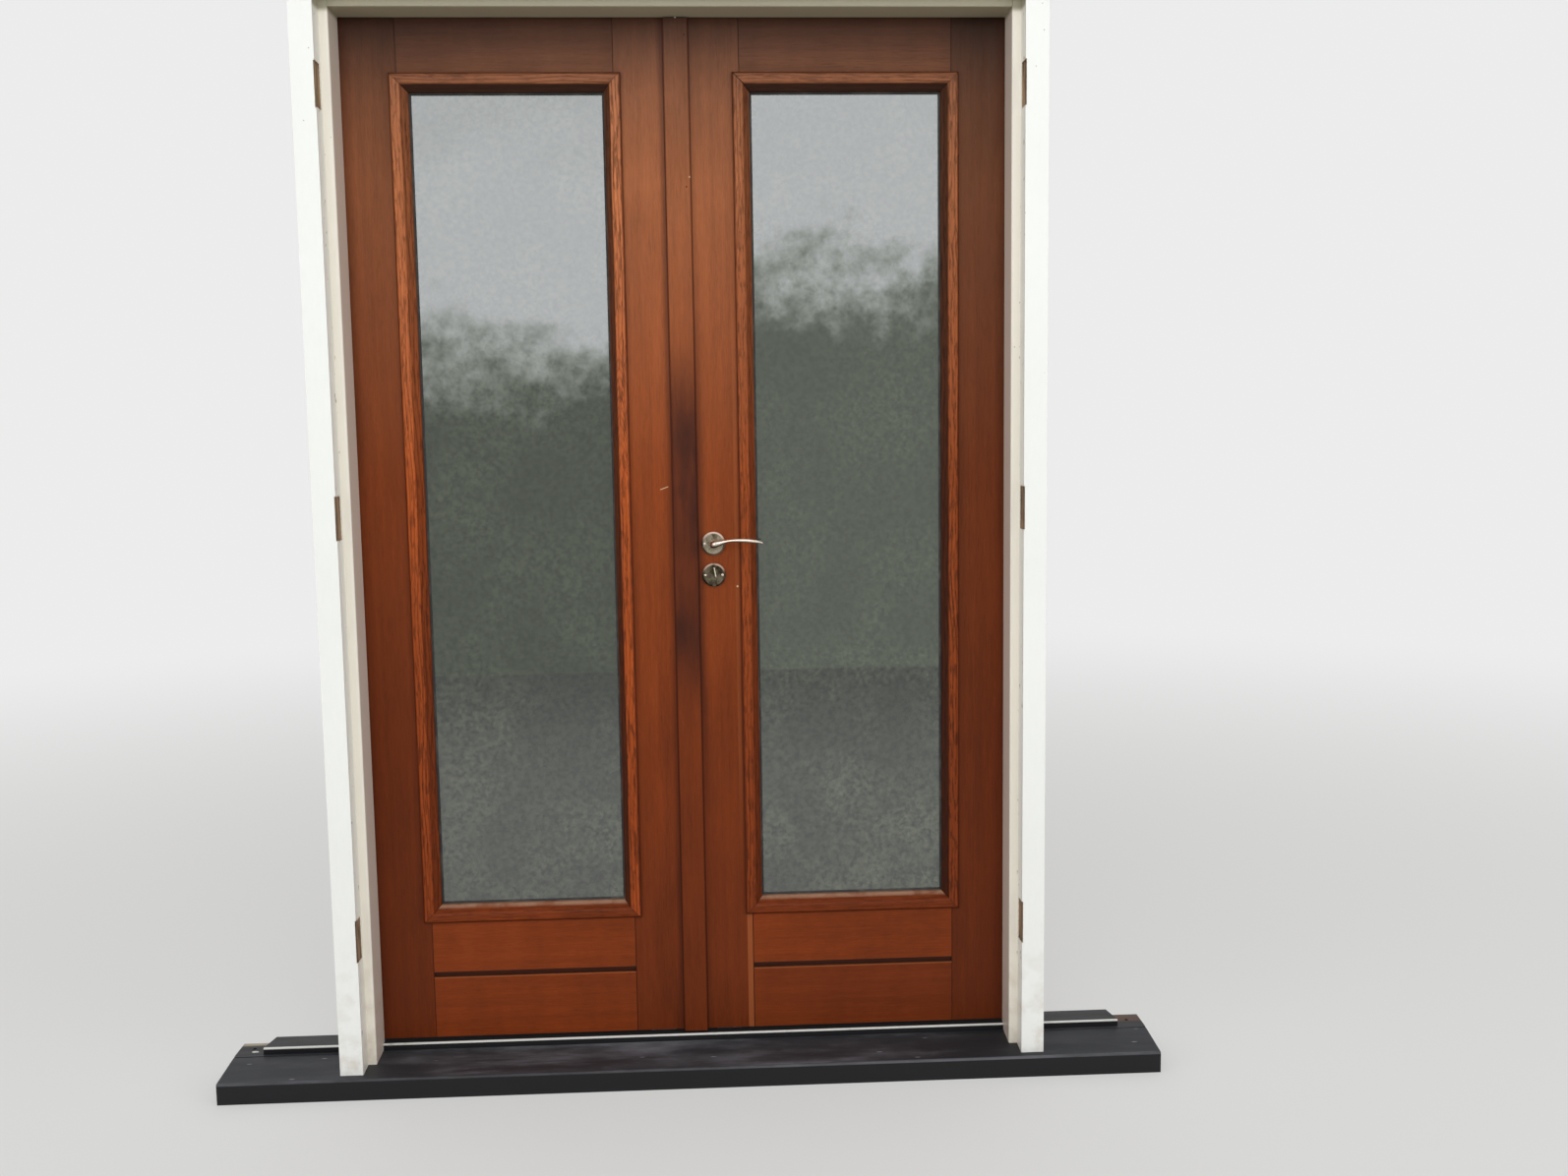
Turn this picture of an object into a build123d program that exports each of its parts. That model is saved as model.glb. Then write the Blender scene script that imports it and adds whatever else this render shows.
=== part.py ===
from build123d import *
import os

# Glazed double doors in a rebated timber frame on a low weathered threshold.
# Sizes are in millimetres. X runs along the frame, Y from its front face to the back, Z is up.
# The origin is on the underside of the threshold, in the plane of the frame's front face.

# Leaves
leaf_width = 695.0
leaf_height = 2172.0
leaf_thickness = 40.0
stile_width = 127.0
top_rail_height = 139.0
upper_board_height = 134.0
lower_board_height = 141.0
board_groove_width = 10.0
board_groove_depth = 6.0
tenon_thickness = 12.0
tenon_length = 45.0
tenon_shoulder = 20.0
arris = 1.0
past = 1.0

# Gaps
meeting_gap = 4.0
side_gap = 3.0
top_gap = 3.0
bottom_gap = 5.0
stop_gap = 2.0
running_gap = 0.3
joint_gap = 0.2

# Frame
frame_face = 49.0
rebate_step = 18.0
front_rebate = 41.0
stop_depth = 73.0
stop_round = 3.0
face_round = 1.5
frame_tenon_width = 36.0
frame_tenon_inset = 15.0
frame_tenon_height = 36.0
frame_tenon_shoulder = 6.0
seal_width = 6.0

# Old hinge housings in the front rebate
housing_height = 89.0
housing_width = 30.0
housing_depth = 3.0

# Threshold
threshold_length = 2000.0
threshold_height = 70.0
nose_projection = 18.0
nose_height = 46.0
nose_round = 4.0
toe_round = 2.0
ledge_round = 2.5
ledge_depth = 56.0
ledge_step = 14.0
drip_inset = 10.0
drip_width = 6.0
drip_depth = 4.0
drip_round = 1.0
slope_groove_inset = 9.0
slope_groove_width = 3.0
slope_groove_depth = 2.0
seat_length = 72.0
seat_skew = 12.0
seat_hole_radius = 4.0
seat_hole_inset = 32.0

# Wall fixings
fixing_radius = 5.0
fixing_count = 4
fixing_first = 500.0
fixing_last_drop = 310.0

# Glazing
moulding_lap = 15.0
moulding_reach = 21.0
moulding_proud = 12.0
moulding_edge = 8.0
moulding_edge_bevel = 5.0
moulding_flat_end = 3.0
moulding_roll_end = 7.0
moulding_roll_drop = 2.0
moulding_inner_drop = 19.0
moulding_edge_round = 3.0
moulding_shoulder_round = 4.0
moulding_roll_round = 5.0
moulding_lip_round = 1.0
glass_setback = 29.0
pane_thickness = 4.0
pane_spacing = 8.0
pane_gap = 4.0
spacer_width = 12.0
tape_thickness = 1.5
tape_width = 13.0
bead_width = 18.0
bead_proud = 3.0
bead_flat = 8.1
bead_lip = 3.0
bead_back_round = 1.5
bead_shoulder_round = 2.0
bead_lip_round = 1.0
packer_length = 80.0
packer_inset = 60.0

# Butt hinges
hinge_height = 89.0
top_hinge_drop = 173.0
middle_hinge_drop = 1025.0
bottom_hinge_lift = 263.0
hinge_plate = 2.5
hinge_plate_width = 30.0
knuckle_radius = 5.5
knuckle_count = 3
knuckle_gap = 0.5
pin_radius = 3.0
pin_fit = 0.05
pin_cap_height = 4.0
pin_cap_radius = 4.5

# Meeting strip
strip_width = 50.0
strip_proud = 12.0
strip_round = 3.0
strip_lap_round = 1.0
seal_inset = 6.0

# Lock on the leaf that opens first
lever_height = 1076.0
backset = 56.0
cylinder_drop = 67.0
case_depth = 87.0
case_thickness = 15.0
case_above = 45.0
case_below = 75.0
faceplate_width = 22.0
faceplate_height = 235.0
faceplate_thickness = 3.0
faceplate_round = 3.0
faceplate_gap = 1.0
latch_height = 20.0
latch_thickness = 11.0
latch_throw = 9.0
latch_reach = 32.0
latch_offset = -1.5
latch_nose_land = 2.0
latch_tail_room = 2.0
deadbolt_height = 34.0
deadbolt_thickness = 12.0
deadbolt_throw = 20.0
deadbolt_reach = 34.0
deadbolt_set_back = 0.5
spindle_size = 8.0
spindle_in_neck = 16.0
follower_radius = 10.0
rose_radius = 25.0
rose_thickness = 9.0
rose_bevel_depth = 3.0
rose_bevel_width = 3.5
rose_hole_radius = 6.0
neck_radius = 8.5
lever_stand = 46.5
lever_length = 105.0
elbow_round = 14.0
elbow_inner_round = 5.0
blade_root = 14.5
blade_height = 9.0
blade_rise = 8.0
blade_crest_share = 0.62
blade_droop = 2.5
blade_return = 13.5
blade_tip = 5.0
blade_tip_height = 5.0
blade_tip_bevel = 3.0
plug_radius = 6.5
cylinder_radius = 8.5
cylinder_width = 10.0
cylinder_depth = 33.0
cylinder_proud = 0.5
hole_gap = 1.0
turn_width = 26.0
turn_thickness = 9.0
turn_stand = 24.0
turn_neck = 4.0
turn_chamfer = 1.5
keyway_width = 1.6
keyway_depth = 3.0
keyway_margin = 1.5

# Rods, their keeps and the bolt of the leaf that opens second
rod_radius = 5.0
rod_edge_distance = 71.0
rod_tail = 25.0
rod_inset = 1.0
rod_throw = 20.0
rod_chamfer = 1.5
rod_hole_gap = 1.0
rod_hole_room = 6.0
keep_length = 55.0
keep_width = 22.0
keep_thickness = 2.0
keep_round = 2.0
keep_hole_gap = 0.5
gear_height = 70.0
gear_width = 30.0
gear_depth = 26.0
bolt_plate_height = 120.0
bolt_plate_width = 40.0
bolt_plate_thickness = 3.0
bolt_plate_round = 6.0
bolt_shaft_radius = 4.7
bolt_shaft_depth = 8.0
shaft_end_room = 2.0
bolt_boss_radius = 9.0
bolt_boss_length = 20.0
bolt_grip_start = 12.0
bolt_knob_length = 62.0
bolt_knob_width = 14.0
bolt_knob_thickness = 12.0
bolt_knob_chamfer = 2.5
strike_height = 200.0
strike_width = 30.0
strike_thickness = 2.0
strike_side_room = 13.5
strike_room = 2.0
strike_front_room = 1.0
strike_round = 3.0

# Places worked out from the sizes above
leaf_bottom = threshold_height + bottom_gap
leaf_top = leaf_bottom + leaf_height
head_face_z = leaf_top + top_gap
soffit = head_face_z - rebate_step
head_top = head_face_z + frame_face
leaf_edge = meeting_gap / 2
leaf_outer = leaf_edge + leaf_width
rebate_x = leaf_outer + side_gap
jamb_outer = rebate_x + frame_face
stop_x = rebate_x - rebate_step
stop_back = front_rebate + stop_depth
leaf_front = stop_back + stop_gap
leaf_back = leaf_front + leaf_thickness
leaf_mid = (leaf_front + leaf_back) / 2
frame_depth = leaf_back
rail_low_x = leaf_edge + stile_width
rail_high_x = leaf_outer - stile_width
glazing_bottom = leaf_bottom + lower_board_height + upper_board_height
glazing_top = leaf_top - top_rail_height
board_joint = leaf_bottom + lower_board_height
ledge_front = frame_depth - ledge_depth
ledge_foot = threshold_height - ledge_step
glass_front = leaf_front - moulding_proud + glass_setback
glass_back = glass_front + 2 * pane_thickness + pane_spacing
hinge_x = leaf_outer + side_gap / 2
hinge_y = leaf_back + knuckle_radius + knuckle_gap
hinge_heights = [leaf_top - top_hinge_drop, leaf_top - middle_hinge_drop, leaf_bottom + bottom_hinge_lift]
fixing_last = head_face_z - fixing_last_drop
fixing_pitch = (fixing_last - fixing_first) / (fixing_count - 1)
lever_x = leaf_edge + backset
lever_z = leaf_bottom + lever_height
cylinder_z = lever_z - cylinder_drop
case_front_x = leaf_edge + faceplate_thickness
case_back_x = leaf_edge + faceplate_thickness + case_depth
case_top = lever_z + case_above
case_bottom = cylinder_z - case_below
faceplate_mid = (case_top + case_bottom) / 2
rod_x = leaf_edge + rod_edge_distance
latch_y = leaf_mid + latch_offset

MIRROR = Plane.YZ
parts = {}


def block(x_range, y_range, z_range):
    """Box between two corners."""
    low = [min(r) for r in (x_range, y_range, z_range)]
    size = [abs(r[1] - r[0]) for r in (x_range, y_range, z_range)]
    return Pos(*low) * Box(*size, align=(Align.MIN, Align.MIN, Align.MIN))


def rod(x, y, z_low, z_high, radius):
    """Upright cylinder."""
    return Pos(x, y, z_low) * Cylinder(radius, z_high - z_low, align=(Align.CENTER, Align.CENTER, Align.MIN))


def rod_y(x, z, y_low, y_high, radius):
    """Cylinder through the thickness."""
    return Pos(x, y_low, z) * Rot(-90, 0, 0) * Cylinder(
        radius, y_high - y_low, align=(Align.CENTER, Align.CENTER, Align.MIN)
    )


def rod_x_axis(y, z, x_low, x_high, radius):
    """Cylinder along the frame."""
    return Pos(x_low, y, z) * Rot(0, 90, 0) * Cylinder(
        radius, x_high - x_low, align=(Align.CENTER, Align.CENTER, Align.MIN)
    )


def section(points, plane):
    """Closed outline on a plane; each point is (first, second, corner radius)."""
    corners = [(a, b) for a, b, _ in points]
    radii = [r for _, _, r in points]
    return plane * make_face(FilletPolyline(*corners, radius=radii, close=True))


def upright(points, z_low, z_high):
    """Section in X and Y, drawn out upwards."""
    return extrude(section(points, Plane.XY.offset(z_low)), z_high - z_low, dir=(0, 0, 1))


def lengthwise(points, x_low, x_high):
    """Section in Y and Z, drawn out along X."""
    return extrude(section(points, Plane.YZ.offset(x_low)), x_high - x_low, dir=(1, 0, 0))


def mirrored(shape):
    """The same piece on the other side of the frame."""
    return mirror(shape, about=MIRROR)


def flipped(shape):
    """The same piece on the other face of the leaf."""
    return mirror(shape, about=Plane(origin=(0, leaf_mid, 0), z_dir=(0, 1, 0)))


def eased(shape):
    """Take the sharp arris off the long edges of a board."""
    longest = shape.edges().group_by(Edge.length)[-1]
    return chamfer(longest, arris)


# Threshold

def threshold_outline(plain):
    """Ledge at the back, a step, a slope to the nose, and a drip groove underneath."""
    rounds = 0 if plain else 1
    points = [
        (-nose_projection, 0, toe_round * rounds),
        (-nose_projection, nose_height, nose_round * rounds),
        (ledge_front, ledge_foot, 0),
        (ledge_front, threshold_height, ledge_round * rounds),
        (frame_depth, threshold_height, arris * rounds),
        (frame_depth, 0, 0),
    ]
    if plain:
        return points
    back = ledge_front - slope_groove_inset
    front = back - slope_groove_width
    slope = (ledge_foot - nose_height) / (ledge_front + nose_projection)
    at_front = nose_height + slope * (front + nose_projection)
    at_back = nose_height + slope * (back + nose_projection)
    groove = [
        (front, at_front, 0),
        (front, at_front - slope_groove_depth, 0),
        (back, at_back - slope_groove_depth, 0),
        (back, at_back, 0),
    ]
    drip_front = drip_inset - nose_projection
    drip_back = drip_front + drip_width
    drip = [
        (drip_back, 0, 0),
        (drip_back, drip_depth, drip_round),
        (drip_front, drip_depth, drip_round),
        (drip_front, 0, 0),
    ]
    return points[:2] + groove + points[2:] + drip


def end_seat():
    """Skewed cut that lowers the ledge to the foot of its step at the right-hand end."""
    end = threshold_length / 2
    cut = Polyline(
        (end - seat_length + seat_skew, ledge_front - past),
        (end - seat_length, frame_depth + past),
        (end + past, frame_depth + past),
        (end + past, ledge_front - past),
        close=True,
    )
    return Pos(0, 0, ledge_foot) * extrude(make_face(cut), ledge_step + past)


def keep_plate(x, z_low, z_high):
    """Small plate with round corners, in line with a rod."""
    half_x = keep_length / 2
    half_y = keep_width / 2
    plate = block((x - half_x, x + half_x), (leaf_mid - half_y, leaf_mid + half_y), (z_low, z_high))
    return fillet(plate.edges().filter_by(Axis.Z), keep_round)


def bolt_keep(x, face, way):
    """Plate set into a face, with the hole for a rod that comes from the other side; way is up or down."""
    z_low, z_high = sorted((face, face + way * keep_thickness))
    hole = rod(x, leaf_mid, z_low - past, z_high + past, rod_radius + keep_hole_gap)
    return keep_plate(x, z_low, z_high) - hole


def keep_recess(x, face, way):
    """Space for a keep and, past it, the hole that the rod runs into."""
    mouth = face - way * past
    plate = keep_plate(x, *sorted((mouth, face + way * keep_thickness)))
    reach = face + way * (rod_throw + rod_hole_room)
    return plate + rod(x, leaf_mid, *sorted((mouth, reach)), rod_radius + rod_hole_gap)


UPWARDS = 1
DOWNWARDS = -1
threshold = lengthwise(threshold_outline(plain=False), -threshold_length / 2, threshold_length / 2)
seat_hole_x = threshold_length / 2 - seat_hole_inset
seat_hole_y = (ledge_front + frame_depth) / 2
seat_cut = end_seat() + rod(seat_hole_x, seat_hole_y, -past, threshold_height, seat_hole_radius)
threshold = threshold - seat_cut - mirrored(seat_cut)
for side in (-1, 1):
    threshold = threshold - keep_recess(side * rod_x, threshold_height, DOWNWARDS)
parts["threshold"] = threshold

keeps = []
for side in (-1, 1):
    keeps.append(bolt_keep(side * rod_x, threshold_height, DOWNWARDS))
    keeps.append(bolt_keep(side * rod_x, head_face_z, UPWARDS))
parts["bolt_keeps"] = Compound(children=keeps)


# Frame

def frame_outline(start, inward):
    """Section of jamb and head: front rebate, stop, rear rebate. Pairs are (reach, depth)."""
    reach = start + inward * frame_face
    stop = start + inward * (frame_face + rebate_step)
    return [
        (start, 0, face_round),
        (reach, 0, face_round),
        (reach, front_rebate, 0),
        (stop, front_rebate, stop_round),
        (stop, stop_back, stop_round),
        (reach, stop_back, 0),
        (reach, frame_depth, face_round),
        (start, frame_depth, face_round),
    ]


tenon_y = front_rebate + stop_depth / 2
tenon_x = (-jamb_outer + frame_tenon_inset, -stop_x - frame_tenon_shoulder)


def frame_tenon(gap):
    """Tenon at the top of the left jamb, or the mortise for it where gap is more than nothing."""
    half = frame_tenon_width / 2 + gap
    return block(
        (tenon_x[0] - gap, tenon_x[1] + gap),
        (tenon_y - half, tenon_y + half),
        (head_face_z - past, head_face_z + frame_tenon_height + gap),
    )


def left_jamb():
    """Jamb from the threshold, scribed over it, up to its tenon in the head."""
    post = upright(frame_outline(-jamb_outer, 1), nose_height, head_face_z)
    scribe = lengthwise(threshold_outline(plain=True), -jamb_outer - past, -stop_x + past)
    post = post - scribe + frame_tenon(0)
    for z in hinge_heights:
        post = post - block(
            (-rebate_x - housing_depth, -rebate_x + past),
            (-past, housing_width),
            (z - housing_height / 2, z + housing_height / 2),
        )
        post = post - block(
            (-rebate_x - hinge_plate, -rebate_x + past),
            (leaf_back - hinge_plate_width, frame_depth + past),
            (z - hinge_height / 2, z + hinge_height / 2),
        )
    for index in range(fixing_count):
        z = fixing_first + index * fixing_pitch
        post = post - rod_x_axis(leaf_mid, z, -jamb_outer - past, -rebate_x + past, fixing_radius)
    return post


parts["left_jamb"] = left_jamb()
parts["right_jamb"] = mirrored(parts["left_jamb"])

cap = [
    (0, head_face_z, face_round),
    (0, head_top, face_round),
    (frame_depth, head_top, face_round),
    (frame_depth, head_face_z, face_round),
]
head_stop = [
    (front_rebate, head_face_z + past, 0),
    (stop_back, head_face_z + past, 0),
    (stop_back, soffit, stop_round),
    (front_rebate, soffit, stop_round),
]
head = lengthwise(cap, -jamb_outer, jamb_outer) + lengthwise(head_stop, -stop_x, stop_x)
head = head - frame_tenon(joint_gap) - mirrored(frame_tenon(joint_gap))
for side in (-1, 1):
    head = head - keep_recess(side * rod_x, head_face_z, UPWARDS)
parts["head"] = head


def frame_seal():
    """Rubber strips on the back of the stops, a hair short of the closed leaves."""
    thick = stop_gap - running_gap
    middle = rebate_step / 2
    low = (stop_x + middle - seal_width / 2, stop_x + middle + seal_width / 2)
    top = soffit + middle + seal_width / 2
    side = block(low, (stop_back, stop_back + thick), (threshold_height, top))
    across = block((-low[0], low[0]), (stop_back, stop_back + thick), (top - seal_width, top))
    return Compound(children=[side, mirrored(side), across])


parts["frame_seal"] = frame_seal()


# Leaf joinery, drawn for the right-hand leaf

def tenon(x_low, x_high, z_low, z_high, gap):
    """Stub tenon, or its mortise where gap is more than nothing."""
    half = tenon_thickness / 2 + gap
    return block((x_low, x_high), (leaf_mid - half, leaf_mid + half), (z_low - gap, z_high + gap))


rails = {
    "top_rail": (glazing_top, leaf_top),
    "upper_board": (board_joint, glazing_bottom),
    "lower_board": (leaf_bottom, board_joint),
}


def rail(name):
    """Rail with a tenon at each end; the two bottom boards meet in a sunk groove."""
    z_low, z_high = rails[name]
    board = block((rail_low_x, rail_high_x), (leaf_front, leaf_back), (z_low, z_high))
    groove = block(
        (rail_low_x - past, rail_high_x + past),
        (leaf_front - past, leaf_front + board_groove_depth),
        (board_joint - board_groove_width / 2, board_joint + board_groove_width / 2),
    )
    x_low = rail_low_x - tenon_length
    x_high = rail_high_x + tenon_length
    return board - groove + tenon(x_low, x_high, z_low + tenon_shoulder, z_high - tenon_shoulder, 0)


def stile(x_low, x_high, inner_x, direction):
    """Full-height stile with a mortise for each rail on its inner edge."""
    board = eased(block((x_low, x_high), (leaf_front, leaf_back), (leaf_bottom, leaf_top)))
    mouth = inner_x + direction * past
    end = inner_x - direction * (tenon_length + joint_gap)
    for z_low, z_high in rails.values():
        low, high = z_low + tenon_shoulder, z_high - tenon_shoulder
        board = board - tenon(min(mouth, end), max(mouth, end), low, high, joint_gap)
    return board


def hinge_stile():
    """Outer stile of the right-hand leaf, let in for its hinges."""
    board = stile(rail_high_x, leaf_outer, rail_high_x, -1)
    for z in hinge_heights:
        board = board - block(
            (leaf_outer - hinge_plate, leaf_outer + past),
            (leaf_back - hinge_plate_width, leaf_back + past),
            (z - hinge_height / 2, z + hinge_height / 2),
        )
    return board


plain_meeting_stile = stile(leaf_edge, rail_low_x, rail_low_x, 1)


# Glazing, drawn for the right-hand leaf

def moulding_outline():
    """Bolection moulding: laps the leaf, stands proud, bevels down to the glass. (inward, depth)"""
    face = leaf_front
    crest = face - moulding_proud
    back = glass_front - tape_thickness
    return [
        (-moulding_lap, face, 0),
        (-moulding_lap, face - moulding_edge, moulding_edge_round),
        (-moulding_lap + moulding_edge_bevel, crest, moulding_shoulder_round),
        (moulding_flat_end, crest, moulding_roll_round),
        (moulding_roll_end, crest + moulding_roll_drop, 0),
        (moulding_reach, crest + moulding_inner_drop, moulding_lip_round),
        (moulding_reach, back, 0),
        (0, back, 0),
        (0, face, 0),
    ]


def bead_outline():
    """Glazing bead inside the leaf, sloped towards the glass. (inward, depth)"""
    start = glass_back + tape_thickness
    end = leaf_back + bead_proud
    return [
        (0, start, 0),
        (0, end, bead_back_round),
        (bead_flat, end, bead_shoulder_round),
        (bead_width, start + bead_lip, bead_lip_round),
        (bead_width, start, 0),
    ]


def mitre_wedge(corners, y_low, y_high):
    """Block with mitred ends that trims one length; corners are (x, z)."""
    face = Plane.XZ * make_face(Polyline(*corners, close=True))
    return extrude(Pos(0, y_low - past, 0) * face, y_high - y_low + 2 * past, dir=(0, 1, 0))


def mitred(outline, lap, reach):
    """Four mitred lengths of one section round the glazing opening: left, right, bottom, top."""
    reach = reach + past
    lap = lap + past
    outer_x = (rail_low_x - lap, rail_high_x + lap)
    inner_x = (rail_low_x + reach, rail_high_x - reach)
    outer_z = (glazing_bottom - lap, glazing_top + lap)
    inner_z = (glazing_bottom + reach, glazing_top - reach)
    low_outer, low_inner = (outer_x[0], outer_z[0]), (inner_x[0], inner_z[0])
    upright_wedge = [low_outer, low_inner, (inner_x[0], inner_z[1]), (outer_x[0], outer_z[1])]
    level_wedge = [low_outer, low_inner, (inner_x[1], inner_z[0]), (outer_x[1], outer_z[0])]
    depths = [depth for _, depth, _ in outline]
    left = upright([(rail_low_x + inward, depth, r) for inward, depth, r in outline], *outer_z)
    bottom = lengthwise([(depth, glazing_bottom + inward, r) for inward, depth, r in outline], *outer_x)
    left = left & mitre_wedge(upright_wedge, min(depths), max(depths))
    bottom = bottom & mitre_wedge(level_wedge, min(depths), max(depths))
    right = mirror(left, about=Plane(origin=((rail_low_x + rail_high_x) / 2, 0, 0), z_dir=(1, 0, 0)))
    top = mirror(bottom, about=Plane(origin=(0, 0, (glazing_bottom + glazing_top) / 2), z_dir=(0, 0, 1)))
    return {"left": left, "right": right, "bottom": bottom, "top": top}


def pane_box(y_low, y_high, inset):
    """Upright rectangle in the glazing opening, inset on all sides."""
    return block(
        (rail_low_x + inset, rail_high_x - inset),
        (y_low, y_high),
        (glazing_bottom + inset, glazing_top - inset),
    )


def panes():
    """The two sheets of the sealed unit."""
    front = pane_box(glass_front, glass_front + pane_thickness, pane_gap)
    back = pane_box(glass_back - pane_thickness, glass_back, pane_gap)
    return Compound(children=[front, back])


def spacer():
    """Bar between the two sheets, round the edge of the unit."""
    y_low = glass_front + pane_thickness
    y_high = y_low + pane_spacing
    outer = pane_box(y_low, y_high, pane_gap)
    return outer - pane_box(y_low - past, y_high + past, pane_gap + spacer_width)


def tapes():
    """Glazing tape between moulding and glass, and between glass and bead."""
    rings = []
    for y in (glass_front - tape_thickness, glass_back):
        outer = pane_box(y, y + tape_thickness, pane_gap)
        rings.append(outer - pane_box(y - past, y + tape_thickness + past, pane_gap + tape_width))
    return Compound(children=rings)


def packers():
    """Blocks that the sealed unit stands on."""
    blocks = []
    for x in (rail_low_x + packer_inset, rail_high_x - packer_inset - packer_length):
        blocks.append(
            block(
                (x, x + packer_length),
                (glass_front, glass_back),
                (glazing_bottom, glazing_bottom + pane_gap),
            )
        )
    return Compound(children=blocks)


# Hinges, drawn for the right-hand leaf

def knuckle_spans(z, own):
    """Heights of every second knuckle of a hinge at height z."""
    pitch = hinge_height / knuckle_count
    spans = []
    for index in range(0 if own == "frame" else 1, knuckle_count, 2):
        low = z - hinge_height / 2 + index * pitch
        spans.append((low + running_gap / 2, low + pitch - running_gap / 2))
    return spans


def hinge_half(z, own):
    """Plate let into the wood, with its share of the knuckles."""
    low, high = z - hinge_height / 2, z + hinge_height / 2
    if own == "frame":
        plate_x = (rebate_x, rebate_x + hinge_plate)
    else:
        plate_x = (leaf_outer - hinge_plate, leaf_outer)
    half = block(plate_x, (leaf_back - hinge_plate_width, leaf_back), (low, high))
    for z_low, z_high in knuckle_spans(z, own):
        half = half + block(plate_x, (leaf_back - hinge_plate, hinge_y), (z_low, z_high))
        half = half + rod(hinge_x, hinge_y, z_low, z_high, knuckle_radius)
    return half - rod(hinge_x, hinge_y, low - past, high + past, pin_radius + pin_fit)


def hinge_pin(z):
    """Pin through the knuckles with a button cap at each end."""
    low, high = z - hinge_height / 2, z + hinge_height / 2
    pin = rod(hinge_x, hinge_y, low, high, pin_radius)
    for cap_low in (low - pin_cap_height, high):
        pin = pin + rod(hinge_x, hinge_y, cap_low, cap_low + pin_cap_height, pin_cap_radius)
    return pin


leaf_halves = Compound(children=[hinge_half(z, "leaf") for z in hinge_heights])
frame_halves = [hinge_half(z, "frame") for z in hinge_heights]
pins = [hinge_pin(z) for z in hinge_heights]
parts["frame_hinge_plates"] = Compound(children=frame_halves + [mirrored(half) for half in frame_halves])
parts["hinge_pins"] = Compound(children=pins + [mirrored(pin) for pin in pins])


# Both leaves

leaf_pieces = {
    "hinge_stile": hinge_stile(),
    "top_rail": rail("top_rail"),
    "upper_board": rail("upper_board"),
    "lower_board": rail("lower_board"),
    "panes": panes(),
    "spacer": spacer(),
    "glazing_tape": tapes(),
    "glazing_packers": packers(),
    "hinge_plates": leaf_halves,
}
for place, length in mitred(moulding_outline(), moulding_lap, moulding_reach).items():
    leaf_pieces["moulding_" + place] = length
leaf_pieces["beads"] = Compound(children=list(mitred(bead_outline(), 0, bead_width).values()))
swap = {"moulding_left": "moulding_right", "moulding_right": "moulding_left"}
for name, shape in leaf_pieces.items():
    parts["right_" + name] = shape
    parts["left_" + swap.get(name, name)] = mirrored(shape)


# Lock

def case_body(gap):
    """Lock case, or the pocket for it where gap is more than nothing."""
    half = case_thickness / 2 + gap
    return block(
        (case_front_x - 2 * gap, case_back_x + gap),
        (leaf_mid - half, leaf_mid + half),
        (case_bottom - gap, case_top + gap),
    )


def faceplate_body(gap):
    """Plate on the edge of the leaf, or its recess where gap is more than nothing."""
    return block(
        (leaf_edge - gap, case_front_x),
        (leaf_mid - faceplate_width / 2, leaf_mid + faceplate_width / 2),
        (faceplate_mid - faceplate_height / 2, faceplate_mid + faceplate_height / 2),
    )


def latch_bar(gap):
    """Latch bolt with its slanted nose, or the way it slides in."""
    half_y = latch_thickness / 2 + gap
    half_z = latch_height / 2 + gap
    x_tip = leaf_edge - latch_throw
    x_tail = leaf_edge + latch_reach
    if gap:
        x_tail = x_tail + latch_throw + latch_tail_room
    return block((x_tip, x_tail), (latch_y - half_y, latch_y + half_y), (lever_z - half_z, lever_z + half_z))


def latch_bolt():
    """Latch with the bevel on its front side, where it meets the strike when the leaf closes."""
    tip = leaf_edge - latch_throw - past
    front = latch_y - latch_thickness / 2 - past
    land = latch_y + latch_thickness / 2 - latch_nose_land
    nose = make_face(Polyline((tip, front), (leaf_edge - past, front), (tip, land), close=True))
    low = lever_z - latch_height / 2 - past
    return latch_bar(0) - Pos(0, 0, low) * extrude(nose, latch_height + 2 * past)


def deadbolt_bar(gap):
    """Deadbolt, drawn back at rest, or the way it slides in."""
    half_y = deadbolt_thickness / 2 + gap
    half_z = deadbolt_height / 2 + gap
    x_range = (leaf_edge + deadbolt_set_back, leaf_edge + deadbolt_reach)
    if gap:
        x_range = (leaf_edge - past, leaf_edge + deadbolt_reach)
    return block(x_range, (leaf_mid - half_y, leaf_mid + half_y), (cylinder_z - half_z, cylinder_z + half_z))


def profile_hole(gap, y_low, y_high):
    """Pear-shaped outline of the profile cylinder."""
    half = cylinder_width / 2
    foot_z = cylinder_z - cylinder_depth + cylinder_radius + half
    barrel = rod_y(lever_x, cylinder_z, y_low, y_high, cylinder_radius + gap)
    web = block(
        (lever_x - half - gap, lever_x + half + gap),
        (y_low, y_high),
        (foot_z - gap, cylinder_z),
    )
    foot = rod_y(lever_x, foot_z, y_low, y_high, half + gap)
    return barrel + web + foot


def leaf_rod(end, root_z):
    """Rod from a short tail in its gear to just inside the end of the leaf."""
    if end == "top":
        bar = rod(rod_x, leaf_mid, root_z - rod_tail, leaf_top - rod_inset, rod_radius)
        tip = bar.edges().filter_by(GeomType.CIRCLE).sort_by(Axis.Z)[-1]
    else:
        bar = rod(rod_x, leaf_mid, leaf_bottom + rod_inset, root_z + rod_tail, rod_radius)
        tip = bar.edges().filter_by(GeomType.CIRCLE).sort_by(Axis.Z)[0]
    return chamfer(tip, rod_chamfer)


def rod_bores(case_low, case_high):
    """Bores in the stile and in the case between these heights for both rods."""
    bore = rod_radius + running_gap
    lower = rod(rod_x, leaf_mid, leaf_bottom - past, case_low + rod_tail + past, bore)
    upper = rod(rod_x, leaf_mid, case_high - rod_tail - past, leaf_top + past, bore)
    return lower + upper


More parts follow.
